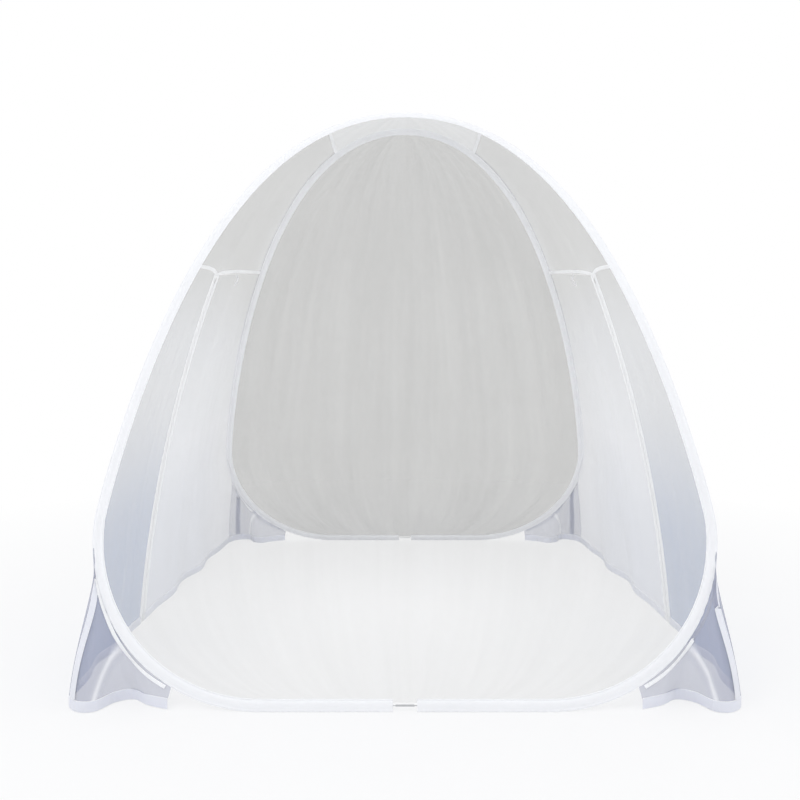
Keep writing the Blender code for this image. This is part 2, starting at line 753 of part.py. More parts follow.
def make_slider(name, side, parent):
    """Slider body with a bail, a bar held between two posts on its outer plate."""
    body = add_clip(name, side, SLIDER_PLACE, SLIDER_LENGTH, SLIDER_WIDTH, parent)
    frame = slider_frame(side)
    base = PLATE_INSIDE + SLIDER_PLATE / 2
    crown = BAIL_LIFT + BAIL_RADIUS + BAIL_CROWN
    inner = PULL_WIDTH / 2 + RUNNING_GAP
    outer = inner + BAIL_POST
    cheeks = [frame @ Matrix.Translation((0, 0, shift)) for shift in (-BAIL_CHEEK / 2, BAIL_CHEEK / 2)]
    for word, sign in (("rear", 1), ("front", -1)):
        section = [(base, -outer), (crown, -outer), (crown, -inner), (base, -inner)]
        section = [(u, -sign * w) for u, w in section]
        join(body, f"{name}_{word}_post", sweep(cheeks, [section]))
    turn = Matrix.Rotation(math.pi / 2, 4, "X")
    middle = frame @ Matrix.Translation((BAIL_LIFT, 0, 0)) @ turn
    reach = (inner + outer) / 2
    ends = [middle @ Matrix.Translation((0, 0, shift)) for shift in (-reach, reach)]
    join(body, f"{name}_bar", sweep(ends, [circle(BAIL_RADIUS, ROUND_SIDES)]))
    return body


def make_pull(name, side, parent):
    """Pull tab: an eye open at the top, crimped round the bail, with a tongue below it."""
    frame = slider_frame(side)
    tongue = math.asin(PULL_THICKNESS / 2 / PULL_EYE_RADIUS)
    steps = ROUND_SIDES // 2

    def arc(radius, start, stop):
        angles = [lerp(start, stop, i / steps) for i in range(steps + 1)]
        return [(radius * math.sin(angle), radius * math.cos(angle)) for angle in angles]

    section = arc(PULL_EYE_RADIUS, PULL_SLOT, math.pi - tongue)
    section += [(PULL_THICKNESS / 2, -PULL_LENGTH), (-PULL_THICKNESS / 2, -PULL_LENGTH)]
    section += arc(PULL_EYE_RADIUS, math.pi + tongue, 2 * math.pi - PULL_SLOT)
    section += arc(PULL_EYE_BORE, 2 * math.pi - PULL_SLOT, PULL_SLOT)
    down = -1 if frame.col[2].z > 0 else 1
    centre = frame @ Matrix.Translation((BAIL_LIFT, 0, 0))
    turn = Matrix(((1, 0, 0, 0), (0, 0, 1, 0), (0, -down, 0, 0), (0, 0, 0, 1)))
    half = PULL_WIDTH / 2
    ends = [centre @ turn @ Matrix.Translation((0, 0, shift)) for shift in (-half, half)]
    return add_object(name, sweep(ends, [section]), white_enamel(), parent, smooth=EDGE_ANGLE)


def make_hoop(word, end, parent):
    make_wire(f"{word}_hoop_wire", end, parent)
    make_ferrule(f"{word}_hoop_ferrule", end, parent)
    make_sleeve(f"{word}_hoop_sleeve", end, parent)
    make_end_net(f"{word}_net", end, parent)
    for hand, side in (("left", -1), ("right", 1)):
        make_corner_skirt(f"{word}_{hand}_corner_skirt", side, end, parent)
        make_corner_hem(f"{word}_{hand}_corner_hem", side, end, parent)


def make_side(hand, side, door_pivot):
    make_upper_net(f"{hand}_upper_net", side)
    make_cross_tape(f"{hand}_cross_tape", side)
    make_door_tie(f"{hand}_door_tie", side)
    for word, end in (("front", -1), ("rear", 1)):
        make_door_panel(f"{hand}_{word}_door_net", side, end)
        make_side_hem(f"{hand}_{word}_hem", side, end)
        make_zip_half(f"{hand}_zip_{word}_tape", side, end, door_pivot)
    for word, distance in (("top", STOP_LENGTH / 2), ("foot", ZIP_LENGTH - STOP_LENGTH)):
        add_clip(f"{hand}_zip_{word}_stop", side, distance, STOP_LENGTH, STOP_WIDTH, door_pivot)
    centre = Vector((side * ZIP_CENTRE.x, -DOOR_OFFSET, ZIP_CENTRE.y))
    slider_pivot = add_pivot(f"{hand}_slider_pivot", centre, door_pivot)
    make_slider(f"{hand}_zip_slider", side, slider_pivot)
    bail = slider_frame(side) @ Vector((BAIL_LIFT, 0, 0))
    pull_pivot = add_pivot(f"{hand}_pull_pivot", bail, slider_pivot)
    make_pull(f"{hand}_zip_pull", side, pull_pivot)


def main():
    for found in list(bpy.data.objects):
        bpy.data.objects.remove(found, do_unlink=True)
    front_pivot = add_pivot("front_hoop_pivot", HINGE)
    door_pivot = add_pivot("door_pivot", HINGE)
    make_hoop("rear", 1, None)
    make_hoop("front", -1, front_pivot)
    make_roof("roof_panel")
    for hand, side in (("left", -1), ("right", 1)):
        make_side(hand, side, door_pivot)
    run = ZIP_LENGTH - 2 * STOP_LENGTH - SLIDER_PLACE - SLIDER_LENGTH / 2
    print("Slider axis", ZIP_CENTRE, "travel in degrees", math.degrees(run / ZIP_RADIUS))
    print("Pull axis", slider_frame(1) @ Vector((BAIL_LIFT, 0, 0)))


main()
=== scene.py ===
import json
import math

import bmesh
import bpy
from bpy.props import FloatProperty, FloatVectorProperty, PointerProperty
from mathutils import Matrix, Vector, noise


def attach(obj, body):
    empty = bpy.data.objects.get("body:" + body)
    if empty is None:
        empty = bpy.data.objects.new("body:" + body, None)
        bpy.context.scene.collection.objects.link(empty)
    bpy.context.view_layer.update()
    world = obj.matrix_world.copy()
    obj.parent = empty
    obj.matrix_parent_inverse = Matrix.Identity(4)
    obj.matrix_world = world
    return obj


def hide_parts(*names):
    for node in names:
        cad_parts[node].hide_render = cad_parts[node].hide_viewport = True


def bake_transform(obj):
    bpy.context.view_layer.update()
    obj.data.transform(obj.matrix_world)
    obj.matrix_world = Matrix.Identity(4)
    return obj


bl_info = {
    "name": "Mosquito Net Tent",
    "version": (1, 0, 0),
    "blender": (4, 5, 0),
    "location": "View3D > Sidebar > Net Tent",
    "description": "Dresses a pop-up net tent with its cloth, seams, zips and a plain studio",
    "category": "Object",
}

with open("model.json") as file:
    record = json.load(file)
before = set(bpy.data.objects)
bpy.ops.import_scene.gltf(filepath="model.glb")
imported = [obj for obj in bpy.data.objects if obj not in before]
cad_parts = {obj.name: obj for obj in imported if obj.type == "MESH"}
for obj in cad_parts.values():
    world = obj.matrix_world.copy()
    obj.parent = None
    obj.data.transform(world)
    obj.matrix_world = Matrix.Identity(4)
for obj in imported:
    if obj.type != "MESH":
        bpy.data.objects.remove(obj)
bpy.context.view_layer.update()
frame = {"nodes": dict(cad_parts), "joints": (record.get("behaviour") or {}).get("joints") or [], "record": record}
JOINTS = {joint["name"]: joint for joint in frame["joints"]}
COUPLINGS = {pair["joint"]: pair for pair in frame["record"]["behaviour"]["couplings"]}

# Sizes of the solids that the cloth follows, in metres, with their shares, counts and one angle
TENT_LENGTH = 2.0
HOOP_WIDTH = 1.760
HOOP_BOW = 0.092
CORNER_RADIUS = 0.50
SIDE_FLARE = 0.020
RISE_HANDLE_SHARE = 0.04
TOP_HANDLE_SHARE = 0.81
SLEEVE_WIDTH = 0.032
SLEEVE_THICKNESS = 0.0052
SLEEVE_EDGE_THICKNESS = 0.0022
SLEEVE_ENTRY = 0.064
FOOT_CUT = 0.0008
SEAM_GAP = 0.0009
ROOF_HALF_SPAN = 0.285
ROOF_SAG = 0.012
HEM_HEIGHT = 0.030
HEM_CLEARANCE = 0.0015
ATTACH_OUTSET = 0.009
ZIP_TOP_X = 0.669
ZIP_TOP_Z = 1.222
ZIP_FOOT_Z = 0.004
ZIP_SLIT = 0.0018
COIL_WIDTH = 0.0026
COIL_HEIGHT = 0.0026
ZIP_TAPE_WIDTH = 0.012
TAPE_WIDTH = 0.015
TAPE_THICKNESS = 0.0012
TAPE_FRONT_Z = 1.242
TAPE_DOOR_Z = 1.233
TAPE_REAR_Z = 1.333
TIE_BEHIND_DOOR = 0.21
TIE_WIDTH = 0.006
TIE_THICKNESS = 0.0010
TIE_DROP = 0.046
TIE_HOOK = 0.016
SKIRT_FOLD_DEPTH = 0.016
SKIRT_FOLD_TOP = 0.46
FOLD_FADE_SHARE = 1.5
FRONT_FOLDS = 2
REAR_FOLDS = 3
CORNER_SEAM_INSET = 0.070
CORNER_SWEEP = math.radians(62)
CORNER_REACH = 0.280
CORNER_WAVE = 0.075
CORNER_BELLY = 0.006
CORNER_EASE_SHARE = 0.3
CORNER_ACROSS_SHARES = (0.0, 0.06, 0.19, 0.34, 0.45, 0.61, 0.79, 1.0)
CORNER_ALONG_SHARES = (0.0, 0.62, 1.0, 0.92, 0.22, -0.04, 0.44, 0.76)
BOW_PEAK_SHARE = 27 / 4

# Sizes that only the cloth has, in metres
NET_TUCK = 0.009
NET_LAP = 0.002
TAPE_LAP = 0.004
HEM_LAP = 0.006
HAIR_GAP = 0.0004
FOLD_THICKNESS = 0.0020
TAPE_ARCH = 0.014
SEAM_BOW = 0.023
BINDING_START = 0.0075
BINDING_RISE = 0.011
BINDING_RIPPLE = 0.0004
HEM_PUFF = 0.0006
ZIP_TAPE_THICKNESS = 0.0008
COIL_END_GAP = 0.003
ROOF_RIPPLE = 0.0035
ROOF_CRIMP = 0.0016
ROOF_SEAM_WIDTH = 0.014
ROOF_SEAM_THICKNESS = 0.0018
CORNER_CLOTH_WIDTH = 0.42
CORNER_NET_SPAN = 0.36
CORNER_NET_INSET = 0.003
CORNER_HEM_LENGTH = 0.38
CORNER_HEM_THICKNESS = 0.0022
CORNER_TAPE_THICKNESS = 0.0014
CORNER_SEAM_LIFT = 0.0022
CORNER_TAPE_LIFT = 0.0040
TAPE_STITCH_INSET = 0.002
HEM_STITCH_INSET = 0.0035
CORNER_STITCH_INSET = 0.003
STITCH_WIDTH = 0.0007
HEM_STITCH_WIDTH = 0.0042
MERGE_DISTANCE = 0.00001

# Shares that only the cloth has, and the tie's turn in radians
STITCH_RUN_SHARE = 0.40
SLEEVE_STITCH_SHARE = 0.68
SLEEVE_CURL_SHARE = 0.3
SLEEVE_NARROW_SHARE = 0.03
SLEEVE_SWELL_SHARE = 0.10
CROSS_TAPE_SHARE = 0.85
TAPE_ARCH_SHARES = (0.6, 0.7)
TAPE_PEAK_SHARES = (1.4, 0.6)
TIE_WIDTH_SHARE = 1.5
TIE_LENGTH_SHARE = 1.4
TIE_INSET_SHARE = 1.4
TIE_CURL_SHARE = 3.8
TIE_TURN = 1.2
ROOF_FULLNESS_SHARE = 1.03
HEM_THREAD_SHARE = 1.35
CORNER_SLACK_SHARE = 0.6
CORNER_SEAM_COLUMN_SHARES = (0.215, 0.285)
CORNER_SEAM_ROW_SHARES = (0.005, 0.975)
CORNER_SEAM_TAPER_SHARE = 0.4
CORNER_TAPE_COLUMN_SHARES = (0.29, 0.97)
CORNER_TAPE_TOP_SHARE = 0.985
CORNER_TAPE_DROP_SHARES = (0.4, 3.0)

# How closely the nets are gathered, and where, as shares
FRONT_GATHER_SHARE = 0.15
REAR_GATHER_SHARES = (0.78, 1.0)
REAR_GATHER_REACH_SHARE = 0.32
REAR_GATHER_TOP_SHARE = 0.80
ZIP_GATHER_SHARE = 0.30
ZIP_GATHER_REACH_SHARE = 0.05
UPPER_GATHER_SHARE = 0.5
UPPER_GATHER_REACH_SHARE = 0.10
CREASE_COLUMN_SHARES = (0.41, 0.67)
CREASE_REACH_SHARE = 0.022
CREASE_GATHER_SHARE = 0.80
INNER_GATHER_SHARE = 0.25

# Half thickness of the sleeve at shares of its half width: edge, flat seam, stitched groove, tunnel
SLEEVE_PROFILE = (
    (1.0, 0.0), (0.985, 0.0007), (0.93, 0.0011), (0.76, 0.0010), (0.68, 0.0006),
    (0.58, 0.0012), (0.40, 0.0022), (0.20, 0.0026), (0.0, 0.0026),
)

# Places and sizes of the lamps, in metres
KEY_LAMP = {"place": (-2.6, -3.2, 4.2), "size": 2.4, "aim": (0, 0, 0.9)}
FILL_LAMP = {"place": (3.4, -2.0, 2.6), "size": 3.0, "aim": (0, 0, 0.8)}
INNER_LAMP = {"place": (0, -0.15, 0.75), "size": 0.5}
FILL_SHARE = 0.35

# Sizes read from the frame or worked out from the ones above
HINGE = Vector(JOINTS["front_hoop_fold"]["pos_m"])
ZIP_PIVOT = Vector(JOINTS["right_slider_travel"]["pos_m"])
HALF_LENGTH = TENT_LENGTH / 2
HALF_WIDTH = HOOP_WIDTH / 2
LEAN = math.atan((HALF_LENGTH + HINGE.y) / HINGE.z)
SLEEVE_HALF = SLEEVE_WIDTH / 2
FOOT_RISE = SLEEVE_HALF + (SLEEVE_EDGE_THICKNESS / 2 * math.sin(LEAN) - FOOT_CUT) / math.cos(LEAN)
HOOP_TOP = HINGE.z / math.cos(LEAN)
WIDEST = FOOT_RISE + CORNER_RADIUS
WIDEST_Z = WIDEST * math.cos(LEAN)
NET_INSET = SLEEVE_HALF - NET_TUCK
CORNER_SEAM_FOOT = HALF_LENGTH - CORNER_SEAM_INSET
HEM_MIDDLE = HEM_CLEARANCE + HEM_HEIGHT / 2
HEM_TOP = HEM_CLEARANCE + HEM_HEIGHT
DOOR_Y = ZIP_PIVOT.y
COIL_EDGE = ZIP_SLIT / 2 + COIL_WIDTH
DOOR_HALF = COIL_EDGE + ZIP_TAPE_WIDTH
ZIP_RADIUS = math.hypot(ZIP_TOP_X - ZIP_PIVOT.x, ZIP_TOP_Z - ZIP_PIVOT.z)
ZIP_TOP_ANGLE = math.asin((ZIP_TOP_Z - ZIP_PIVOT.z) / ZIP_RADIUS)
ZIP_FOOT_ANGLE = math.asin((ZIP_FOOT_Z - ZIP_PIVOT.z) / ZIP_RADIUS)
ZIP_LENGTH = (ZIP_TOP_ANGLE - ZIP_FOOT_ANGLE) * ZIP_RADIUS

UV_NAME = "cloth"
GATHER_NAME = "gather"
SIDES = (("left", -1), ("right", 1))
ENDS = (("front", -1), ("rear", 1))
BODY_OF_END = {-1: "front_hoop", 1: "rear_hoop"}


class TentLooks(bpy.types.PropertyGroup):
    """Colours and fine sizes of the cloth and metal."""

    # Painted shade: the net's threads are white, and these thread colours are darkened to stand for the shade they
    # lie in, deepest on the rear net.
    front_net: FloatVectorProperty(
        name="Front net", description="Thread colour of the net in the front hoop",
        subtype="COLOR", min=0, max=1, default=(0.60, 0.60, 0.58))
    rear_net: FloatVectorProperty(
        name="Rear net", description="Thread colour of the net in the rear hoop",
        subtype="COLOR", min=0, max=1, default=(0.225, 0.222, 0.208))
    # Painted shade by height: the side nets' white threads are darkened, most near the roof and near the floor,
    # where they are also bluer.
    side_net_upper_shade: FloatVectorProperty(
        name="Side net, upper", description="Thread colour of the side nets near the roof",
        subtype="COLOR", min=0, max=1, default=(0.36, 0.36, 0.35))
    side_net_middle_shade: FloatVectorProperty(
        name="Side net, middle", description="Thread colour of the side nets at mid height",
        subtype="COLOR", min=0, max=1, default=(0.57, 0.585, 0.63))
    side_net_lower_shade: FloatVectorProperty(
        name="Side net, lower", description="Thread colour of the side nets near the floor",
        subtype="COLOR", min=0, max=1, default=(0.28, 0.36, 0.54))
    # Painted shade: the corner skirts' white threads are given a dark, bluish colour.
    corner_net_shade: FloatVectorProperty(
        name="Corner net", description="Thread colour of the corner skirts",
        subtype="COLOR", min=0, max=1, default=(0.32, 0.34, 0.45))
    net_gathered: FloatVectorProperty(
        name="Net, gathered", description="Colour of the net where it lies in close folds",
        subtype="COLOR", min=0, max=1, default=(0.90, 0.905, 0.935))
    front_cover: FloatProperty(
        name="Front net cover", description="Share of the front net that its threads fill",
        subtype="FACTOR", min=0, max=1, default=0.24)
    rear_cover: FloatProperty(
        name="Rear net cover", description="Share of the rear net that its threads fill",
        subtype="FACTOR", min=0, max=1, default=0.50)
    side_cover: FloatProperty(
        name="Side net cover", description="Share of the side nets that their threads fill",
        subtype="FACTOR", min=0, max=1, default=0.48)
    corner_cover: FloatProperty(
        name="Corner net cover", description="Share of the corner skirts that their threads fill",
        subtype="FACTOR", min=0, max=1, default=0.58)
    hole_size: FloatProperty(
        name="Hole pitch", description="Distance between the holes of the net",
        unit="LENGTH", precision=4, default=0.0019)
    weave_pitch: FloatProperty(
        name="Weave pitch", description="Distance between two yarns of the woven cloth",
        unit="LENGTH", precision=4, default=0.0007)
    stitch_length: FloatProperty(
        name="Stitch length", description="Length of one machine stitch with its gap",
        unit="LENGTH", precision=4, default=0.0034)
    sleeve_colour: FloatVectorProperty(
        name="Sleeve", description="Colour of the hoop sleeves",
        subtype="COLOR", min=0, max=1, default=(0.90, 0.905, 0.92))
    roof_colour: FloatVectorProperty(
        name="Roof", description="Colour of the roof strip",
        subtype="COLOR", min=0, max=1, default=(0.96, 0.962, 0.95))
    tape_colour: FloatVectorProperty(
        name="Tape", description="Colour of the tapes, bindings and zips",
        subtype="COLOR", min=0, max=1, default=(0.93, 0.935, 0.95))
    hem_colour: FloatVectorProperty(
        name="Hem", description="Colour of the folded hems and corner seams",
        subtype="COLOR", min=0, max=1, default=(0.80, 0.81, 0.86))
    steel_colour: FloatVectorProperty(
        name="Steel", description="Colour of the spring wire and its ferrule",
        subtype="COLOR", min=0, max=1, default=(0.56, 0.57, 0.59))
    enamel_colour: FloatVectorProperty(
        name="Enamel", description="Colour of the zip sliders, pulls and stops",
        subtype="COLOR", min=0, max=1, default=(0.86, 0.86, 0.85))


class TentDetail(bpy.types.PropertyGroup):
    """Sizes of the folds, seams and small parts."""

    pucker_depth: FloatProperty(
        name="Pucker depth", description="How far the sleeve's edge waves between stitches",
        unit="LENGTH", precision=4, default=0.0009)
    pucker_pitch: FloatProperty(
        name="Pucker pitch", description="Distance between two puckers along the sleeve",
        unit="LENGTH", precision=3, default=0.034)
    net_slack: FloatProperty(
        name="Net slack", description="Depth of the soft waves across a net",
        unit="LENGTH", precision=3, default=0.007)
    binding_width: FloatProperty(
        name="Door binding", description="Width of the binding beside each zip tape",
        unit="LENGTH", precision=3, default=0.023)
    seam_tape_width: FloatProperty(
        name="Corner seam", description="Width of the tape down the seam of a corner skirt",
        unit="LENGTH", precision=3, default=0.026)
    corner_tape_width: FloatProperty(
        name="Corner tape", description="Width of the tape that follows the hoop's lower corner",
        unit="LENGTH", precision=3, default=0.010)
    corner_tape_drop: FloatProperty(
        name="Corner tape drop", description="Scale of that tape's distance from the sleeve",
        unit="LENGTH", precision=3, default=0.030)
    coil_pitch: FloatProperty(
        name="Coil pitch", description="Distance between two turns of the zip's coil",
        unit="LENGTH", precision=4, default=0.0016)
    coil_yarn: FloatProperty(
        name="Coil yarn", description="Diameter of the coil's filament",
        unit="LENGTH", precision=4, default=0.0007)


class TentStudio(bpy.types.PropertyGroup):
    """The floor, the light and the camera."""

    floor_colour: FloatVectorProperty(
        name="Floor", description="Colour of the floor",
        subtype="COLOR", min=0, max=1, default=(0.86, 0.86, 0.87))
    floor_radius: FloatProperty(
        name="Floor radius", description="Radius of the round floor",
        unit="LENGTH", default=40.0)
    sky_strength: FloatProperty(
        name="Sky strength", description="Strength of the even light from all round",
        min=0, default=1.0)
    key_power: FloatProperty(
        name="Key lamp", description="Power of the large lamp at the upper left",
        unit="POWER", min=0, default=32.0)
    inner_power: FloatProperty(
        name="Inner lamp", description="Power of the soft lamp inside the tent",
        unit="POWER", min=0, default=6.5)
    lens_height: FloatProperty(
        name="Lens height", description="Height of the camera over the floor",
        unit="LENGTH", default=0.903)
    lens_distance: FloatProperty(
        name="Lens distance", description="Distance of the camera from the tent's middle",
        unit="LENGTH", default=3.0)
    focal_length: FloatProperty(
        name="Focal length", description="Focal length on a 36 mm wide frame, in millimetres",
        min=1, default=34.29)
    shift_across: FloatProperty(
        name="Shift across", description="Sideways shift of the picture, as a share of its width",
        default=-0.00625)
    shift_up: FloatProperty(
        name="Shift up", description="Upward shift of the picture, as a share of its width",
        default=-0.04)


def looks():
    return bpy.context.scene.tent_looks


def detail():
    return bpy.context.scene.tent_detail


def studio():
    return bpy.context.scene.tent_studio


def lerp(a, b, share):
    return a + (b - a) * share


def clamp(value, low=0.0, high=1.0):
    return min(max(value, low), high)


def arch(share):
    """0 at both ends of a run and 1 in its middle."""
    return math.sin(math.pi * share)


def fading(distance, reach):
    """1 at no distance, about a third at the reach and next to nothing at twice the reach."""
    return math.exp(-(distance / reach) ** 2)


def ripple(*place):
    """The height of smooth waves at a place in space, between -1 and 1."""
    return noise.noise(Vector(place))


def read_line(line, value):
    """The second figure of a line of pairs, where the first one has that value."""
    for (a, p), (b, q) in zip(line, line[1:]):
        if value <= b:
            return lerp(p, q, (value - a) / (b - a))
    return line[-1][1]


class Signal:
    """A shader socket that can stand in a sum."""

    def __init__(self, recipe, socket):
        self.recipe = recipe
        self.socket = socket

    def math(self, operation, *others):
        inputs = dict(enumerate((self, *others)))
        return self.recipe.node("ShaderNodeMath", {"operation": operation}, inputs)

    def __add__(self, other):
        return self.math("ADD", other)

    def __sub__(self, other):
        return self.math("SUBTRACT", other)

    def __mul__(self, other):
        return self.math("MULTIPLY", other)

    def __rsub__(self, other):
        return self.recipe.node("ShaderNodeMath", {"operation": "SUBTRACT"}, {0: other, 1: self})

    __radd__ = __add__
    __rmul__ = __mul__

    def clamped(self, low=0.0, high=1.0):
        return self.math("MAXIMUM", low).math("MINIMUM", high)


class Recipe:
    """The node tree of a material or of the world."""

    def __init__(self, owner, output):
        owner.use_nodes = True
        self.tree = owner.node_tree
        self.tree.nodes.clear()
        self.surface = self.tree.nodes.new(output).inputs["Surface"]

    def node(self, kind, settings=None, inputs=None, out=0):
        made = self.tree.nodes.new(kind)
        for name, value in (settings or {}).items():
            setattr(made, name, value)
        for name, value in (inputs or {}).items():
            self.feed(made.inputs[name], value)
        return Signal(self, made.outputs[out])

    def feed(self, socket, value):
        if isinstance(value, Signal):
            self.tree.links.new(value.socket, socket)
        else:
            socket.default_value = value

    def uv(self):
        """The cloth's own coordinates in metres: across the piece and along it."""
        flat = self.node("ShaderNodeUVMap", {"uv_map": UV_NAME})
        return [self.node("ShaderNodeSeparateXYZ", None, {0: flat}, axis) for axis in (0, 1)]

    def place(self):
        return self.node("ShaderNodeTexCoord", None, None, "Object")

    def colour_mix(self, share, first, second):
        inputs = {0: share, 6: first, 7: second}
        return self.node("ShaderNodeMix", {"data_type": "RGBA"}, inputs, 2)

    def shader_mix(self, share, first, second):
        return self.node("ShaderNodeMixShader", None, {0: share, 1: first, 2: second})

    def noise(self, vector, scale, layers=2.0):
        inputs = {"Vector": vector, "Scale": scale, "Detail": layers}
        return self.node("ShaderNodeTexNoise", None, inputs)

    def stretched_noise(self, x, y, across, along, layers=2.0):
        """Noise drawn out into streaks, with its own count of waves per metre each way."""
        vector = self.node("ShaderNodeCombineXYZ", None, {0: x * across, 1: y * along})
        return self.noise(vector, 1.0, layers)

    def bump(self, height, distance, strength=1.0):
        inputs = {"Height": height, "Distance": distance, "Strength": strength}
        return self.node("ShaderNodeBump", None, inputs, "Normal")

    def shade(self, colour, roughness, **inputs):
        named = {name.replace("_", " ").title(): value for name, value in inputs.items()}
        named.update({"Base Color": colour, "Roughness": roughness})
        self.feed(self.surface, self.node("ShaderNodeBsdfPrincipled", None, named))


def tone(colour, share=1.0):
    """A colour times a share, with its alpha."""
    return (*(value * share for value in colour), 1.0)


def finish(name, paint, *values, **options):
    """The material of that name, painted the first time that it is asked for."""
    found = bpy.data.materials.get(name)
    if found:
        return found
    material = bpy.data.materials.new(name)
    paint(Recipe(material, "ShaderNodeOutputMaterial"), *values, **options)
    return material


def paint_net(recipe, net_cover, lower, middle, upper):
    """Fine six-sided net: threads with holes between them, closer where it is gathered, in thread colours that
    carry painted shade.
    """
    hole = looks().hole_size
    x, y = recipe.uv()
    wave = 2 * math.pi / hole
    slant = math.sin(math.radians(60))
    rows = (x * wave).math("COSINE")
    rising = ((x * 0.5 + y * slant) * wave).math("COSINE")
    falling = ((x * 0.5 - y * slant) * wave).math("COSINE")
    threads = (0.5 - (rows + rising + falling) * 0.3).clamped()
    streaks = recipe.stretched_noise(x, y, 14.0, 1.3)
    clouds = recipe.noise(recipe.place(), 2.3)
    gather = recipe.node("ShaderNodeAttribute", {"attribute_name": GATHER_NAME}, None, "Fac")
    height = recipe.node("ShaderNodeSeparateXYZ", None, {0: recipe.place()}, 2)
    above_foot, above_middle = (
        recipe.node(
            "ShaderNodeMapRange", {"interpolation_type": "SMOOTHSTEP"},
            {"Value": height, "From Min": low, "From Max": high})
        for low, high in ((0.30, 0.85), (0.95, 1.35)))
    cover = net_cover * (0.72 + threads * 0.56) + (streaks - 0.5) * 0.14
    # Where the colours change with height, the net is also made denser near the floor, so it looks darker there.
    if lower != middle:
        cover = cover + (1 - above_foot) * 0.12
    alpha = (cover + (clouds - 0.5) * 0.10 + gather * 0.12).clamped(0.05, 0.97)
    # Painted shade by height: the thread colour runs from the lower one near the floor, through the middle one, to
    # the upper one near the roof.
    plain = recipe.colour_mix(above_foot, tone(lower), tone(middle))
    plain = recipe.colour_mix(above_middle, plain, tone(upper))
    colour = recipe.colour_mix(gather.clamped(), plain, tone(looks().net_gathered))
    recipe.shade(colour, 0.85, alpha=alpha, normal=recipe.bump(threads, hole * 0.2, 0.3))


def end_net_finish(end):
    if end < 0:
        return finish("front_net", paint_net, looks().front_cover, *[looks().front_net] * 3)
    return finish("rear_net", paint_net, looks().rear_cover, *[looks().rear_net] * 3)


def side_net_finish():
    return finish(
        "side_net", paint_net, looks().side_cover,
        looks().side_net_lower_shade, looks().side_net_middle_shade, looks().side_net_upper_shade)


def corner_net_finish():
    return finish("corner_net_shade", paint_net, looks().corner_cover, *[looks().corner_net_shade] * 3)


def stitch_rows(across, along, places, width):
    """1 on the thread of each row of stitches, 0 beside it and in the gaps between stitches."""
    beat = (along * (1 / looks().stitch_length)).math("FRACT")
    run = (beat - 0.5).math("ABSOLUTE").math("LESS_THAN", STITCH_RUN_SHARE)
    near = [(across - place).math("ABSOLUTE").math("LESS_THAN", width / 2) for place in places]
    return sum((row * run for row in near[1:]), near[0] * run)


def paint_cloth(
        recipe, colour, rows=(), fold=0.0, cover=None, wear=0.06, thread=0.80, stitch=STITCH_WIDTH):
    """Woven cloth with faint creases, and rows of stitches at distances from where it is folded."""
    x, y = recipe.uv()
    across = (x - fold).math("ABSOLUTE") if fold else x
    wave = 2 * math.pi / looks().weave_pitch
    weave = (x * wave).math("SINE") * (y * wave).math("SINE")
    creases = recipe.stretched_noise(x, y, 22.0, 60.0, 4.0)
    clouds = recipe.noise(recipe.place(), 5.0)
    tint = (0.5 + (clouds - 0.5) * 0.8 + weave * 0.15).clamped()
    shaded = recipe.colour_mix(tint, tone(colour, 1 - wear), tone(colour))
    relief = weave * 0.25 + creases * 0.6
    if rows:
        stitches = stitch_rows(across, y, rows, stitch)
        shaded = recipe.colour_mix(stitches * 0.85, shaded, tone(colour, thread))
        relief = relief + stitches * 0.9
    inputs = {"normal": recipe.bump(relief, 0.0005, 0.5), "sheen_weight": 0.15}
    if cover is not None:
        inputs["alpha"] = (cover + (clouds - 0.5) * 0.1 + weave * 0.04).clamped()
    else:
        inputs.update(subsurface_weight=1.0, subsurface_scale=0.002, subsurface_radius=(1, 1, 1))
    recipe.shade(shaded, 0.78, **inputs)


def sleeve_finish():
    row = SLEEVE_HALF * SLEEVE_STITCH_SHARE
    rows = (SLEEVE_HALF - row, SLEEVE_HALF + row)
    return finish("sleeve", paint_cloth, looks().sleeve_colour, rows, fold=SLEEVE_WIDTH)


def tape_finish(name, width):
    """Woven tape with a row of stitches near both edges."""
    edge = min(TAPE_STITCH_INSET, width / 5)
    return finish(name, paint_cloth, looks().tape_colour, (edge, width - edge), fold=width)


def hem_finish(name, width, edge):
    """Folded net with a wide row of bright stitches near both edges."""
    return finish(
        name, paint_cloth, looks().hem_colour, (edge, width - edge),
        fold=width, thread=HEM_THREAD_SHARE, stitch=HEM_STITCH_WIDTH)


def roof_finish():
    return finish("roof", paint_cloth, looks().roof_colour, cover=0.85, wear=0.08)


def paint_coil(recipe):
    """Moulded filament of the zip's coil."""
    spots = recipe.noise(recipe.place(), 900.0)
    colour = recipe.colour_mix(spots, tone(looks().tape_colour, 0.9), tone(looks().tape_colour))
    recipe.shade(colour, 0.4, normal=recipe.bump(spots, 0.0001, 0.3))


def paint_steel(recipe):
    """Drawn spring wire: fine lines, a little dull where it rubs in its sleeve."""
    lines = recipe.node("ShaderNodeMapping", None, {"Vector": recipe.place(), "Scale": (3, 3, 900)})
    drawn = recipe.noise(lines, 1.0, 3.0)
    dull = recipe.noise(recipe.place(), 60.0, 3.0)
    colour = recipe.colour_mix(dull, tone(looks().steel_colour, 0.75), tone(looks().steel_colour))
    normal = recipe.bump(drawn, 0.0002, 0.25)
    recipe.shade(colour, 0.22 + dull * 0.25, metallic=1.0, normal=normal)


def paint_enamel(recipe):
    """Baked white enamel on small castings, with worn, darker spots."""
    skin = recipe.noise(recipe.place(), 700.0)
    worn = recipe.noise(recipe.place(), 260.0, 4.0)
    spots = ((worn - 0.66) * 9.0).clamped()
    colour = recipe.colour_mix(spots, tone(looks().enamel_colour), tone(looks().enamel_colour, 0.62))
    normal = recipe.bump(skin, 0.0001, 0.3)
    recipe.shade(colour, 0.28 + spots * 0.3, normal=normal, coat_weight=0.3)


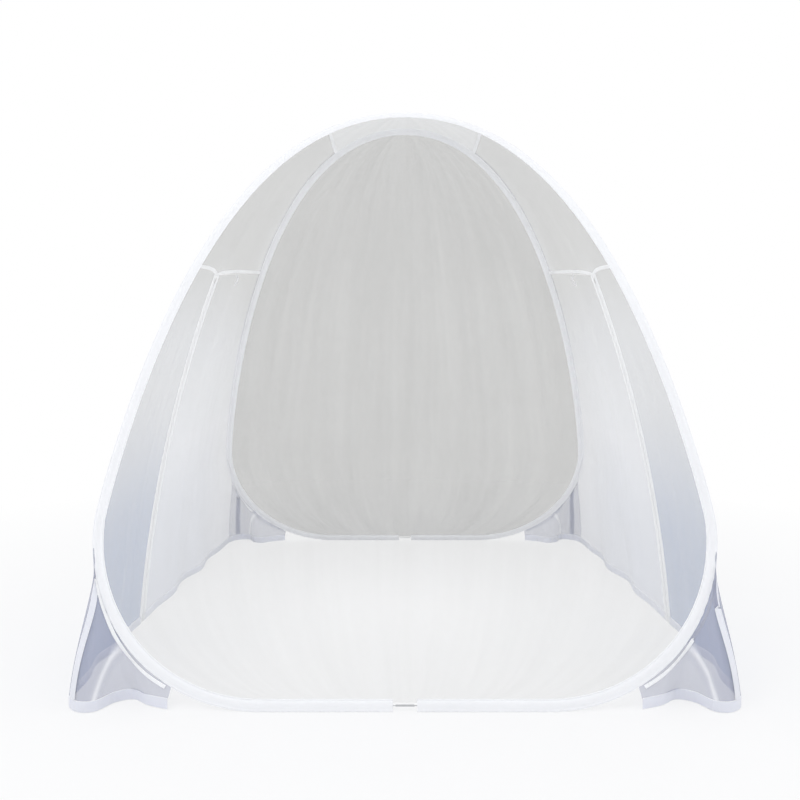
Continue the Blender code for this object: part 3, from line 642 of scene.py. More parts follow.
def finish_piece(work, name, material, closed=False):
    """Makes the finished mesh a named object at the origin."""
    if closed:
        bmesh.ops.remove_doubles(work, verts=work.verts[:], dist=MERGE_DISTANCE)
        bmesh.ops.holes_fill(work, edges=work.edges[:])
        bmesh.ops.recalc_face_normals(work, faces=work.faces[:])
        if work.calc_volume(signed=True) < 0:
            bmesh.ops.reverse_faces(work, faces=work.faces[:])
    mesh = bpy.data.meshes.new(name)
    work.to_mesh(mesh)
    work.free()
    mesh.materials.append(material)
    mesh.shade_smooth()
    mesh.set_sharp_from_angle(angle=math.radians(60))
    made = bpy.data.objects.new(name, mesh)
    bpy.context.scene.collection.objects.link(made)
    return made


def grid(columns, rows, place, size, gather=None):
    """A grid bent to place(column share, row share), with its flat size kept as coordinates."""
    work = bmesh.new()
    layer = work.loops.layers.uv.new(UV_NAME)
    close = work.verts.layers.float.new(GATHER_NAME)
    bmesh.ops.create_grid(work, x_segments=columns, y_segments=rows, size=0.5, calc_uvs=True)
    for face in work.faces:
        for loop in face.loops:
            loop[layer].uv = ((loop.vert.co.x + 0.5) * size[0], (loop.vert.co.y + 0.5) * size[1])
    for vert in work.verts:
        column, row = vert.co.x + 0.5, vert.co.y + 0.5
        vert.co = place(column, row)
        if gather:
            vert[close] = gather(column, row)
    return work


def band(share, width, thickness):
    """A point of a flat, round-edged section, going once round it."""
    turn = 2 * math.pi * share
    across = math.copysign(abs(math.cos(turn)) ** 0.4, math.cos(turn))
    through = math.copysign(abs(math.sin(turn)) ** 0.7, math.sin(turn))
    return across * width / 2, through * thickness / 2


def strip(name, material, place, columns, rows, size, node=None):
    """A closed strip of tape, hem or coil, and the solid that it stands for."""
    piece = finish_piece(grid(columns, rows, place, size), name, material, True)
    if node:
        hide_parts(node)
    return piece


def cut(work, place, normal, above=True):
    """Cuts a mesh with a plane and keeps what lies above it, or else below it."""
    everything = work.verts[:] + work.edges[:] + work.faces[:]
    bmesh.ops.bisect_plane(
        work, geom=everything, plane_co=place, plane_no=normal,
        clear_inner=above, clear_outer=not above)


def surface_area(obj):
    return sum(face.area for face in obj.data.polygons)


def declare_cloth(piece, width, length):
    """Works out the smaller of a piece's surface and its rectangle as the area of its cut, and uses it for
    nothing.
    """
    area = min(surface_area(piece), width * length)


def bow(up):
    t = up / HOOP_TOP
    return HOOP_BOW * BOW_PEAK_SHARE * t * t * (1 - t)


def rise_direction(up):
    """Unit direction (away from the tent's middle, upwards) in which a bowed hoop climbs."""
    t = up / HOOP_TOP
    spread = HOOP_BOW / HOOP_TOP * BOW_PEAK_SHARE * t * (2 - 3 * t)
    return Vector((spread - math.sin(LEAN), math.cos(LEAN))).normalized()


def hoop_point(end, across, up, inside=0.0):
    climb = rise_direction(up)
    return Vector((
        across,
        end * (HALF_LENGTH - up * math.sin(LEAN) + bow(up) - inside * climb.y),
        up * math.cos(LEAN) + inside * climb.x,
    ))


def corner_arc(steps):
    """The hoop's lower right corner, from the foot bar to its widest place."""
    straight = HALF_WIDTH - CORNER_RADIUS
    turns = [math.pi / 2 * i / steps for i in range(steps)]
    return [
        Vector((straight + CORNER_RADIUS * math.sin(turn), WIDEST - CORNER_RADIUS * math.cos(turn)))
        for turn in turns
    ]


def upper_curve(steps):
    """The hoop's right side, from its widest place to its top."""
    rise = HOOP_TOP - WIDEST
    points = []
    for i in range(steps + 1):
        s = i / steps
        across = (1 - s) ** 3 + 3 * s * (1 - s) ** 2 + 3 * s * s * (1 - s) * TOP_HANDLE_SHARE
        up = 3 * s * (1 - s) ** 2 * RISE_HANDLE_SHARE + 3 * s * s * (1 - s) + s ** 3
        points.append(Vector((HALF_WIDTH * across, WIDEST + rise * up)))
    return points


def evenly(points, count):
    """That many points at even distances along a line through the given ones, and its length."""
    reached = [0.0]
    for a, b in zip(points, points[1:]):
        reached.append(reached[-1] + (b - a).length)
    made = []
    i = 0
    for k in range(count):
        target = reached[-1] * k / (count - 1)
        while i < len(points) - 2 and reached[i + 1] < target:
            i += 1
        share = (target - reached[i]) / (reached[i + 1] - reached[i])
        made.append(points[i].lerp(points[i + 1], share))
    return made, reached[-1]


def hoop_line(start, count):
    """Even points round a hoop from one side of the foot bar to the other, and their length."""
    half = [Vector((start, FOOT_RISE))] + corner_arc(80) + upper_curve(200)
    return evenly(half + [Vector((-p.x, p.y)) for p in reversed(half[:-1])], count)


def outward(points, i):
    along = (points[min(i + 1, len(points) - 1)] - points[max(i - 1, 0)]).normalized()
    return Vector((along.y, -along.x))


def upper_line(steps, out):
    """(up, across) pairs along a line that runs beside the upper part of the hoop's right side."""
    points = upper_curve(steps)
    placed = [points[i] + outward(points, i) * out for i in range(len(points))]
    return [(place.y, place.x) for place in placed]


NET_LINE = upper_line(200, -NET_INSET)
# (height, across) pairs where the side net meets the sleeve
EDGE_LINE = [(up * math.cos(LEAN), across) for up, across in upper_line(120, ATTACH_OUTSET)]


def on_sleeve(end, point, normal, out, inside):
    """A place beside a point of the hoop: out in the hoop's plane, inside towards the tent."""
    climb = rise_direction(point.y)
    away = Vector((normal.x, end * normal.y * climb.x, normal.y * climb.y))
    inward = Vector((0, -end * climb.y, climb.x))
    return hoop_point(end, point.x, point.y) + away * out + inward * inside


def half_thickness(u):
    """Half thickness of the sleeve at a signed share of its half width."""
    for (high, thick), (low, thin) in zip(SLEEVE_PROFILE, SLEEVE_PROFILE[1:]):
        if abs(u) >= low:
            return lerp(thin, thick, (abs(u) - low) / (high - low))
    return SLEEVE_PROFILE[-1][1]


def sleeve_loop():
    """Once round the sleeve's section and back to its start, as pairs of width share and side."""
    shares = [share for share, _ in SLEEVE_PROFILE]
    top = shares + [-share for share in reversed(shares[:-1])]
    loop = [(u, 1) for u in top] + [(u, -1) for u in reversed(top[1:-1])]
    return loop + loop[:1]


def make_sleeve(word, end):
    """The sleeve with its puckers, deeper at the lower corners, cut flat where it stands."""
    stations = 760
    points, length = hoop_line(SLEEVE_ENTRY / 2, stations + 1)
    normals = [outward(points, i) for i in range(len(points))]
    loop = sleeve_loop()
    depth, pitch = detail().pucker_depth, detail().pucker_pitch

    def place(column, row):
        i = round(row * stations)
        u, face = loop[round(column * (len(loop) - 1))]
        distance = row * length
        curl = 1 + SLEEVE_CURL_SHARE * max(0.0, 1 - points[i].y / WIDEST)
        wave = math.sin(2 * math.pi * distance / pitch + 2 * math.sin(distance * 9))
        loose = ripple(distance * 45, u * 1.5, end)
        shift = depth * curl * (wave * u * u * 0.8 + loose * 0.6 * abs(u))
        narrow = 1 - SLEEVE_NARROW_SHARE * abs(ripple(distance * 28, end * 3, 0))
        swell = 1 + SLEEVE_SWELL_SHARE * ripple(distance * 60, u, 2 + face)
        inside = face * half_thickness(u) * swell + shift
        return on_sleeve(end, points[i], normals[i], u * SLEEVE_HALF * narrow, inside)

    work = grid(len(loop) - 1, stations, place, (2 * SLEEVE_WIDTH, length))
    bmesh.ops.remove_doubles(work, verts=work.verts[:], dist=MERGE_DISTANCE)
    cut(work, (0, 0, 0), (0, 0, 1))
    piece = finish_piece(work, f"{word}_sleeve", sleeve_finish(), closed=True)
    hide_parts(f"{word}_hoop_sleeve")
    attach(piece, BODY_OF_END[end])


def half_width_at(up):
    """Half width of the end net at a distance up the hoop's plane."""
    if up > WIDEST:
        return max(read_line(NET_LINE, up), 0.0)
    reach = CORNER_RADIUS - NET_INSET
    below = min(WIDEST - up, reach)
    return HALF_WIDTH - CORNER_RADIUS + math.sqrt(reach * reach - below * below)


def make_end_net(word, end):
    """Net across a hoop, sewn a little way into its sleeve, with soft slack in its middle."""
    low, high = FOOT_RISE + NET_INSET, NET_LINE[-1][0] - HAIR_GAP
    depth = detail().net_slack

    def place(column, row):
        closer_at_ends = (1 - math.cos(math.pi * row)) / 2
        up = lerp(low, high, lerp(row, closer_at_ends, 0.6))
        across = (2 * column - 1) * half_width_at(up)
        fade = arch(column) * arch(clamp(row))
        drape = ripple(across * 5.5 + 7 * end, up * 0.9, end)
        small = ripple(across * 17, up * 2.2, 5 + end)
        return hoop_point(end, across, up, depth * fade * (drape * 1.6 + small * 0.5))

    width = 2 * (HALF_WIDTH - NET_INSET)
    work = grid(90, 120, place, (width, high - low))
    piece = finish_piece(work, f"{word}_end_net", end_net_finish(end))
    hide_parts(f"{word}_net")
    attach(piece, BODY_OF_END[end])
    declare_cloth(piece, width, high - low)


def seam_bow(rise):
    """How far the seam below the hoop's side curves in, at a share of its height."""
    return SEAM_BOW * arch(clamp(rise) ** 2)


def edge_across(z):
    """Half width of the side net's edge at height z."""
    low_z, low_across = EDGE_LINE[0]
    if z > low_z:
        return read_line(EDGE_LINE, z)
    return low_across + SIDE_FLARE * (1 - z / low_z) - seam_bow((z - HEM_TOP) / (low_z - HEM_TOP))


def edge_height(x):
    """Height at which the side net's edge has come in to half width x."""
    for below, above in zip(EDGE_LINE, EDGE_LINE[1:]):
        if above[1] <= x:
            return lerp(below[0], above[0], (below[1] - x) / (below[1] - above[1]))
    return EDGE_LINE[-1][0]


ROOF_END_Z = edge_height(ROOF_HALF_SPAN)


def hoop_reach(z):
    """How far from the middle a hoop's inner face stands at height z."""
    up = z / math.cos(LEAN)
    lift = (SLEEVE_THICKNESS / 2 + SEAM_GAP) / rise_direction(up).y
    return HALF_LENGTH - z * math.tan(LEAN) + bow(up) - lift


def edge_reach(z):
    """How far along the tent the side net reaches at height z."""
    if z >= WIDEST_Z:
        return hoop_reach(z)
    rise = max(0.0, (z - HEM_TOP) / (WIDEST_Z - HEM_TOP))
    return lerp(CORNER_SEAM_FOOT, hoop_reach(WIDEST_Z), rise)


def zip_across(z):
    return ZIP_PIVOT.x + math.sqrt(ZIP_RADIUS ** 2 - (z - ZIP_PIVOT.z) ** 2)


def roof_nearness(z):
    return clamp((z - ZIP_TOP_Z) / (ROOF_END_Z - ZIP_TOP_Z))


def side_across(y, z):
    """Half width of the side net at (y, z): the hoop's edge, its draw to the zip and its folds."""
    reach = edge_reach(z)
    middle = DOOR_Y * (1 - roof_nearness(z))
    share = (y - middle) / (reach - middle) if y > middle else (middle - y) / (reach + middle)
    share = clamp(share)
    door_z = min(z, ZIP_TOP_Z)
    draw = (zip_across(door_z) - edge_across(door_z)) * (1 - roof_nearness(z))
    waves = REAR_FOLDS if y > middle else FRONT_FOLDS
    depth = SKIRT_FOLD_DEPTH * max(0.0, 1 - z / SKIRT_FOLD_TOP) ** FOLD_FADE_SHARE
    fold = depth * arch(share) ** 2 * math.sin(2 * math.pi * waves * share)
    return edge_across(z) + draw * (1 - share * share) + fold


def side_point(side, y, z, out=0.0):
    return Vector((side * (side_across(y, z) + out), y, z))


def slack(side, y, z, fade):
    """Soft hanging waves of a side net, none at its seams."""
    drape = ripple(y * 8, z * 1.3, side * 4)
    small = ripple(y * 22, z * 2.6, side * 7)
    return detail().net_slack * fade * (drape + small * 0.4)


def turn_share(weight):
    """The place along a blend at which cloth turns by that share of the fold."""
    low, high = 0.0, 1.0
    for _ in range(40):
        middle = (low + high) / 2
        turned = middle * middle * (3 - 2 * middle)
        low, high = (middle, high) if turned < weight else (low, middle)
    return low


ZIP_SHARE = turn_share(COUPLINGS["door_zips_fold"]["ratio"])
ROOF_EDGE_Y = hoop_reach(HINGE.z)

# Corners of the triangles of the side nets, as (y, z, place along the blend)
FRONT_FOOT = (-CORNER_SEAM_FOOT, HEM_TOP, 1.0)
FRONT_TAPE = (-hoop_reach(TAPE_FRONT_Z), TAPE_FRONT_Z, 1.0)
FRONT_TOP = (-ROOF_EDGE_Y, ROOF_END_Z, 1.0)
REAR_FOOT = (CORNER_SEAM_FOOT, HEM_TOP, 0.0)
REAR_TAPE = (hoop_reach(TAPE_REAR_Z), TAPE_REAR_Z, 0.0)
REAR_TOP = (ROOF_EDGE_Y, ROOF_END_Z, 0.0)
ZIP_FRONT_FOOT = (DOOR_Y - DOOR_HALF, 0.0, ZIP_SHARE)
ZIP_FRONT_TOP = (DOOR_Y - DOOR_HALF, TAPE_DOOR_Z, ZIP_SHARE)
ZIP_REAR_FOOT = (DOOR_Y + DOOR_HALF, 0.0, ZIP_SHARE)
ZIP_REAR_TOP = (DOOR_Y + DOOR_HALF, TAPE_DOOR_Z, ZIP_SHARE)
ZIP_TOP = (DOOR_Y, TAPE_DOOR_Z, ZIP_SHARE)

FRONT_HIGH = (FRONT_FOOT, ZIP_FRONT_TOP, FRONT_TAPE)
REAR_HIGH = (REAR_FOOT, ZIP_REAR_TOP, REAR_TAPE)
HIGH_OF_END = {-1: FRONT_HIGH, 1: REAR_HIGH}
LOW_OF_END = {
    -1: (FRONT_FOOT, ZIP_FRONT_FOOT, ZIP_FRONT_TOP),
    1: (REAR_FOOT, ZIP_REAR_FOOT, ZIP_REAR_TOP),
}
UPPER_FRONT = (FRONT_TAPE, ZIP_TOP, FRONT_TOP)
UPPER_MIDDLE = (ZIP_TOP, REAR_TOP, FRONT_TOP)
UPPER_REAR = (ZIP_TOP, REAR_TAPE, REAR_TOP)


def fold_over(piece, corners):
    """Works out how a share rises evenly over a triangle of (y, z, share), and bakes the piece's transform into
    its mesh.
    """
    (ya, za, a), (yb, zb, b), (yc, zc, c) = corners
    whole = (yb - ya) * (zc - za) - (yc - ya) * (zb - za)
    slope = Vector((
        0,
        ((b - a) * (zc - za) - (c - a) * (zb - za)) / whole,
        ((c - a) * (yb - ya) - (b - a) * (yc - ya)) / whole,
    ))
    start = Vector((0, ya, za)) - slope * (a / slope.length_squared)
    start + slope / slope.length_squared
    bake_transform(piece)


def halves(work, first, second):
    """Cuts a side mesh along the line through two (y, z) places; the half above comes first."""
    along = Vector((0, second[0] - first[0], second[1] - first[1]))
    normal = Vector((0, -along.z, along.y))
    if normal.z < 0:
        normal.negate()
    parts = []
    for above in (True, False):
        part = work.copy()
        cut(part, (0, first[0], first[1]), normal, above)
        parts.append(part)
    work.free()
    return parts


def add_side_net(work, name, node, corners):
    """A three-sided piece of side net, with its longest side and its height over that side worked out."""
    piece = finish_piece(work, name, side_net_finish())
    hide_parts(node)
    fold_over(piece, corners)
    spots = [side_point(1, y, z) for y, z, _ in corners]
    length = max((spots[i] - spots[i - 1]).length for i in range(3))
    declare_cloth(piece, 2 * surface_area(piece) / length, length)


def make_door_net(hand, side, word, end):
    """One half of a door, as a high and a low triangle; the rear half hangs in close gathers."""
    hoop_top = TAPE_FRONT_Z if end < 0 else TAPE_REAR_Z
    near = DOOR_Y + end * (DOOR_HALF - TAPE_LAP)
    low = HEM_TOP - HEM_LAP

    def place(column, row):
        z_hoop = lerp(low, hoop_top, row)
        y = lerp(end * (edge_reach(z_hoop) + NET_LAP), near, column)
        z = lerp(z_hoop, lerp(low, TAPE_DOOR_Z, row), column)
        return side_point(side, y, z, slack(side, y, z, arch(column) * arch(row) ** 0.5))

    def gather(column, row):
        if end < 0:
            return FRONT_GATHER_SHARE * max(0.0, 1 - column * 9) * (1 - row) ** 2
        beside_hoop = lerp(*REAR_GATHER_SHARES, fading(column, REAR_GATHER_REACH_SHARE))
        return beside_hoop * clamp(3.2 * (REAR_GATHER_TOP_SHARE - row))

    work = grid(60, 90, place, (edge_reach(WIDEST_Z), hoop_top - low), gather)
    foot, top = LOW_OF_END[end], HIGH_OF_END[end]
    high_part, low_part = halves(work, foot[0], foot[2])
    node = f"{hand}_{word}_door_net"
    for label, part, corners in (("high", high_part, top), ("low", low_part, foot)):
        add_side_net(part, f"{node}_{label}", node, corners)


def make_upper_net(hand, side):
    """The net from the cross tape to the roof, in three triangles that meet over the zip."""
    top = ROOF_END_Z + TAPE_LAP

    def spot(column, row):
        z_front = lerp(TAPE_FRONT_Z, top, row)
        z_door = lerp(TAPE_DOOR_Z, top, row)
        z_rear = lerp(TAPE_REAR_Z, top, row)
        middle = lerp(DOOR_Y, 0, row)
        if column < 0.5:
            y = lerp(-edge_reach(z_front) - NET_LAP, middle, column * 2)
            return y, lerp(z_front, z_door, column * 2)
        y = lerp(middle, edge_reach(z_rear) + NET_LAP, column * 2 - 1)
        return y, lerp(z_door, z_rear, column * 2 - 1)

    def place(column, row):
        y, z = spot(column, row)
        return side_point(side, y, z, slack(side, y, z, arch(column) * arch(row)))

    def gather(column, row):
        over_zip = max(0.0, 1 - row * 6) * fading(column - 0.5, ZIP_GATHER_REACH_SHARE)
        beside_hoop = fading(1 - column, UPPER_GATHER_REACH_SHARE) * clamp(1 - row * 0.9)
        return ZIP_GATHER_SHARE * over_zip + UPPER_GATHER_SHARE * beside_hoop

    work = grid(90, 60, place, (edge_reach(WIDEST_Z), top - TAPE_DOOR_Z), gather)
    node = f"{hand}_upper_net"
    front, rest = halves(work, FRONT_TOP, ZIP_TOP)
    inner, outer = halves(rest, ZIP_TOP, REAR_TOP)
    for label, part, corners in (
        ("front", front, UPPER_FRONT), ("middle", inner, UPPER_MIDDLE), ("rear", outer, UPPER_REAR),
    ):
        add_side_net(part, f"{node}_{label}", node, corners)


def tape_spot(column):
    """(y, z) along the cross tape, arched from the front hoop to the door and on to the rear hoop."""
    front_arch, rear_arch = (TAPE_ARCH * share for share in TAPE_ARCH_SHARES)
    front_peak, rear_peak = TAPE_PEAK_SHARES
    if column < 0.5:
        share = column * 2
        y = lerp(-edge_reach(TAPE_FRONT_Z), DOOR_Y, share)
        return y, lerp(TAPE_FRONT_Z, TAPE_DOOR_Z, share) + front_arch * arch(share ** front_peak)
    share = column * 2 - 1
    y = lerp(DOOR_Y, edge_reach(TAPE_REAR_Z), share)
    return y, lerp(TAPE_DOOR_Z, TAPE_REAR_Z, share) + rear_arch * arch(share ** rear_peak)


def make_cross_tape(hand, side):
    """The tape over a door, in two parts that meet over the zip."""
    width = TAPE_WIDTH * CROSS_TAPE_SHARE
    node = f"{hand}_cross_tape"
    for label, first, last, corners in (("front", 0, 0.5, FRONT_HIGH), ("rear", 0.5, 1, REAR_HIGH)):
        def place(column, row):
            y, z = tape_spot(lerp(first, last, row))
            rise, out = band(column, width, TAPE_THICKNESS)
            return side_point(side, y, z + rise, out)

        size = (2 * width, abs(tape_spot(last)[0] - tape_spot(first)[0]))
        material = tape_finish("cross_tape", width)
        fold_over(strip(f"{node}_{label}", material, place, 16, 60, size, node), corners)


def make_tie(hand, side):
    """The tie below the cross tape, which turns its flat side to the front and curls forward."""
    y = DOOR_Y + TIE_BEHIND_DOOR
    share = TIE_BEHIND_DOOR / (edge_reach(TAPE_REAR_Z) - DOOR_Y)
    top = tape_spot(0.5 + share / 2)[1] + TAPE_WIDTH / 4
    width = TIE_WIDTH * TIE_WIDTH_SHARE
    length = TIE_DROP * TIE_LENGTH_SHARE
    behind_tape = TAPE_THICKNESS / 2 + TIE_THICKNESS / 2 + HAIR_GAP

    def place(column, row):
        across, through = band(column, width, TIE_THICKNESS)
        turned = TIE_TURN * clamp(row * 3) ** 2
        inset = behind_tape + TIE_INSET_SHARE * width * clamp(row * 2.2)
        out = side_across(y, top) - inset - through * math.cos(turned) + across * math.sin(turned)
        along = across * math.cos(turned) - through * math.sin(turned)
        hook = TIE_HOOK * TIE_CURL_SHARE * max(0.0, 1.8 * row - 0.8) ** 1.3
        return Vector((side * out, y - hook + along, top - length * row))

    material = tape_finish("tie_tape", TIE_WIDTH)
    piece = strip(f"{hand}_tie", material, place, 12, 60, (2 * width, length), f"{hand}_door_tie")
    fold_over(piece, REAR_HIGH)


def make_side_hem(hand, side, word, end):
    """The hem along the foot of a door net."""
    near = DOOR_Y + end * (DOOR_HALF + SEAM_GAP)
    node = f"{hand}_{word}_hem"

    def place(column, row):
        rise, out = band(column, HEM_HEIGHT, FOLD_THICKNESS)
        z = HEM_MIDDLE + rise
        y = lerp(end * edge_reach(z), near, row)
        return side_point(side, y, z, out + HEM_PUFF * ripple(y * 40, z * 30, side))

    size = (2 * HEM_HEIGHT, CORNER_SEAM_FOOT + end * near)
    material = hem_finish("hem", HEM_HEIGHT, HEM_STITCH_INSET)
    fold_over(strip(f"{node}_fold", material, place, 20, 160, size, node), LOW_OF_END[end])


def zip_point(side, angle, out, along_tent):
    """A place on the zip: out from its arc, and along the tent from its slit."""
    reach = ZIP_RADIUS + out
    return Vector((
        side * (ZIP_PIVOT.x + reach * math.cos(angle)),
        DOOR_Y + along_tent,
        ZIP_PIVOT.z + reach * math.sin(angle),
    ))


def make_zip_tape(hand, side, word, end):
    """One tape of a zip with its coil."""
    node = f"{hand}_zip_{word}_tape"
    width = ZIP_TAPE_WIDTH + COIL_WIDTH
    middle = ZIP_SLIT / 2 + width / 2

    def place(column, row):
        across, out = band(column, width, ZIP_TAPE_THICKNESS)
        angle = lerp(ZIP_TOP_ANGLE, ZIP_FOOT_ANGLE, row)
        return zip_point(side, angle, out, end * (middle + across))

    material = tape_finish("zip_tape", ZIP_TAPE_WIDTH)
    size = (2 * ZIP_TAPE_WIDTH, ZIP_LENGTH)
    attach(strip(f"{node}_cloth", material, place, 12, 120, size, node), "door_zips")
    make_coil(f"{node}_coil", side, end)


def make_coil(name, side, end):
    """The filament wound along the edge of a zip tape, as one unbroken spring."""
    yarn = detail().coil_yarn / 2
    turns = round((ZIP_LENGTH - 2 * COIL_END_GAP) / detail().coil_pitch)
    middle = COIL_EDGE - COIL_WIDTH / 2
    half_width = COIL_WIDTH / 2 - yarn
    half_height = COIL_HEIGHT / 2 - yarn
    inset = COIL_END_GAP / ZIP_RADIUS

    def place(column, row):
        turn = 2 * math.pi * turns * row
        round_yarn = 2 * math.pi * column
        out = math.sin(turn) * (half_height + yarn * math.cos(round_yarn))
        across = math.cos(turn) * (half_width + yarn * math.cos(round_yarn))
        angle = lerp(ZIP_TOP_ANGLE - inset, ZIP_FOOT_ANGLE + inset, row)
        angle += yarn * math.sin(round_yarn) / ZIP_RADIUS
        return zip_point(side, angle, out, end * (middle + across))

    size = (detail().coil_yarn * 3, ZIP_LENGTH)
    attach(strip(name, finish("coil", paint_coil), place, 4, turns * 8, size), "door_zips")


def make_binding(hand, side, word, end):
    """Folded binding that joins the door net to the zip tape."""
    width = detail().binding_width
    middle = BINDING_START + width / 2
    top_angle = ZIP_TOP_ANGLE + BINDING_RISE / ZIP_RADIUS

    def place(column, row):
        across, out = band(column, width, FOLD_THICKNESS)
        z = ZIP_PIVOT.z + ZIP_RADIUS * math.sin(lerp(top_angle, ZIP_FOOT_ANGLE, row))
        y = DOOR_Y + end * (middle + across)
        wave = BINDING_RIPPLE * math.sin(row * 260 + 3 * math.sin(row * 31))
        return side_point(side, y, z, out + wave)

    material = tape_finish("binding", width)
    piece = strip(f"{hand}_{word}_binding", material, place, 12, 260, (2 * width, ZIP_LENGTH))
    fold_over(piece, LOW_OF_END[end])


def smooth_share(shares, place):
    """A smooth curve through evenly spaced shares, read at a place among them."""
    last = len(shares) - 1
    i = min(int(place), last - 1)
    t = place - i
    before, here, ahead, after = [shares[max(0, min(last, i + k))] for k in (-1, 0, 1, 2)]
    return here + 0.5 * t * (
        ahead - before
        + t * (2 * before - 5 * here + 4 * ahead - after)
        + t * t * (3 * here - before - 3 * ahead + after)
    )


def corner_hem_line(share):
    """Plan of a corner skirt's hem, (across, along), with one deep wave."""
    place = share * (len(CORNER_ACROSS_SHARES) - 1)
    across = edge_across(HEM_TOP) - CORNER_REACH * smooth_share(CORNER_ACROSS_SHARES, place)
    along = CORNER_WAVE * smooth_share(CORNER_ALONG_SHARES, place)
    return across, CORNER_SEAM_FOOT + SEAM_GAP + along


def corner_top(end, share, inset=0.0):
    """A place round the hoop's lower corner, where the corner skirt is sewn to the sleeve."""
    turn = CORNER_SWEEP * share
    reach = CORNER_RADIUS + SLEEVE_HALF + SEAM_GAP - inset
    across = HALF_WIDTH - CORNER_RADIUS + reach * math.cos(turn)
    return hoop_point(end, across, WIDEST - reach * math.sin(turn))


def corner_point(side, end, column, row, low_z=HEM_TOP, inset=0.0):
    """A place on the corner skirt, from its hem (row 0) up to the sleeve (row 1)."""
    across, along = corner_hem_line(column)
    low = Vector((across, end * along, low_z))
    high = corner_top(end, column, inset)
    ease = row ** (1 + CORNER_EASE_SHARE * arch(column))
    belly = CORNER_BELLY * arch(row) * arch(column)
    drawn = seam_bow(row) * (1 - column)
    return Vector((
        side * (lerp(low.x, high.x, ease) + belly - drawn),
        lerp(low.y, high.y, ease) + end * belly,
        lerp(low.z, high.z, row),
    ))


def make_corner_skirt(hand, side, word, end):
    """Net that falls from the hoop's lower corner, creased along its deep fold."""
    node = f"{word}_{hand}_corner_skirt"
    depth = detail().net_slack * CORNER_SLACK_SHARE

    def place(column, row):
        spot = corner_point(side, end, column, row, HEM_TOP - HEM_LAP, CORNER_NET_INSET)
        fade = arch(column) * arch(row)
        wave = depth * fade * ripple(column * 14, row * 2.4, side + 2 * end)
        return spot + Vector((side * wave, end * wave, 0))

    def gather(column, row):
        past_crease = column - lerp(*CREASE_COLUMN_SHARES, row)
        crease = CREASE_GATHER_SHARE * fading(past_crease, CREASE_REACH_SHARE)
        return crease * clamp((1 - row) * 4) + INNER_GATHER_SHARE * clamp(past_crease * 12)

    work = grid(110, 70, place, (CORNER_NET_SPAN, WIDEST_Z), gather)
    piece = finish_piece(work, f"{node}_net", corner_net_finish())
    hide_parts(node)
    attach(piece, BODY_OF_END[end])
    declare_cloth(piece, CORNER_CLOTH_WIDTH, WIDEST_Z)


def make_corner_hem(hand, side, word, end):
    """The hem of a corner skirt, bent along the skirt's wave."""
    step = 0.004

    def place(column, row):
        rise, out = band(column, HEM_HEIGHT, CORNER_HEM_THICKNESS)
        across, along = corner_hem_line(row)
        ahead = corner_hem_line(min(1.0, row + step))
        behind = corner_hem_line(max(0.0, row - step))
        run = Vector((ahead[0] - behind[0], ahead[1] - behind[1])).normalized()
        return Vector((side * (across - run.y * out), end * (along + run.x * out), HEM_MIDDLE + rise))

    name, node = f"{word}_{hand}_corner_skirt_hem", f"{word}_{hand}_corner_hem"
    material = hem_finish("hem", HEM_HEIGHT, HEM_STITCH_INSET)
    size = (2 * HEM_HEIGHT, CORNER_HEM_LENGTH)
    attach(strip(name, material, place, 20, 180, size, node), BODY_OF_END[end])


def ribbon(name, line, face, width, taper, material, body):
    """A flat tape along line(share), lying square to face(share), drawn in towards its end."""
    steps = 120
    points = [line(i / steps) for i in range(steps + 1)]
    length = sum((b - a).length for a, b in zip(points, points[1:]))

    def place(column, row):
        i = round(row * steps)
        along = (points[min(i + 1, steps)] - points[max(i - 1, 0)]).normalized()
        normal = face(row).normalized()
        across = along.cross(normal).normalized()
        a, b = band(column, width * lerp(1, taper, row * row), CORNER_TAPE_THICKNESS)
        return points[i] + across * a + normal * b

    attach(strip(name, material, place, 12, steps, (2 * width, length)), body)


def corner_face(side, end, column, row):
    """Outward direction of the corner skirt's surface."""
    step = 0.01

    def near(right, up):
        return corner_point(side, end, clamp(column + right), clamp(row + up))

    normal = (near(step, 0) - near(-step, 0)).cross(near(0, step) - near(0, -step))
    return normal if normal.x * side > 0 or normal.y * end > 0 else -normal


def add_corner_tape(name, side, end, path, lift, width, taper, material):
    """A ribbon just over the corner skirt, along path(share), which gives a column and a row."""
    steps = 60
    points, normals = [], []
    for i in range(steps + 1):
        column, row = path(i / steps)
        normals.append(corner_face(side, end, column, row).normalized())
        points.append(corner_point(side, end, column, row) + normals[-1] * lift)

    def between(values, share):
        i = min(int(share * steps), steps - 1)
        return values[i].lerp(values[i + 1], share * steps - i)

    ribbon(
        name, lambda share: between(points, share), lambda share: between(normals, share),
        width, taper, material, BODY_OF_END[end])


def make_corner_tapes(hand, side, word, end):
    """The tape down the seam of a corner skirt, and the tape below the hoop's lower corner."""
    def down_seam(share):
        return lerp(*CORNER_SEAM_COLUMN_SHARES, share), lerp(*CORNER_SEAM_ROW_SHARES, share)

    def round_corner(share):
        drop = detail().corner_tape_drop * lerp(*CORNER_TAPE_DROP_SHARES, share) / WIDEST_Z
        return lerp(*CORNER_TAPE_COLUMN_SHARES, share), CORNER_TAPE_TOP_SHARE - drop

    width = detail().seam_tape_width
    add_corner_tape(
        f"{word}_{hand}_corner_seam", side, end, down_seam, CORNER_SEAM_LIFT, width,
        CORNER_SEAM_TAPER_SHARE, hem_finish("corner_seam", width, CORNER_STITCH_INSET))
    width = detail().corner_tape_width
    add_corner_tape(
        f"{word}_{hand}_corner_tape", side, end, round_corner, CORNER_TAPE_LIFT, width,
        1.0, tape_finish("corner_tape", width))


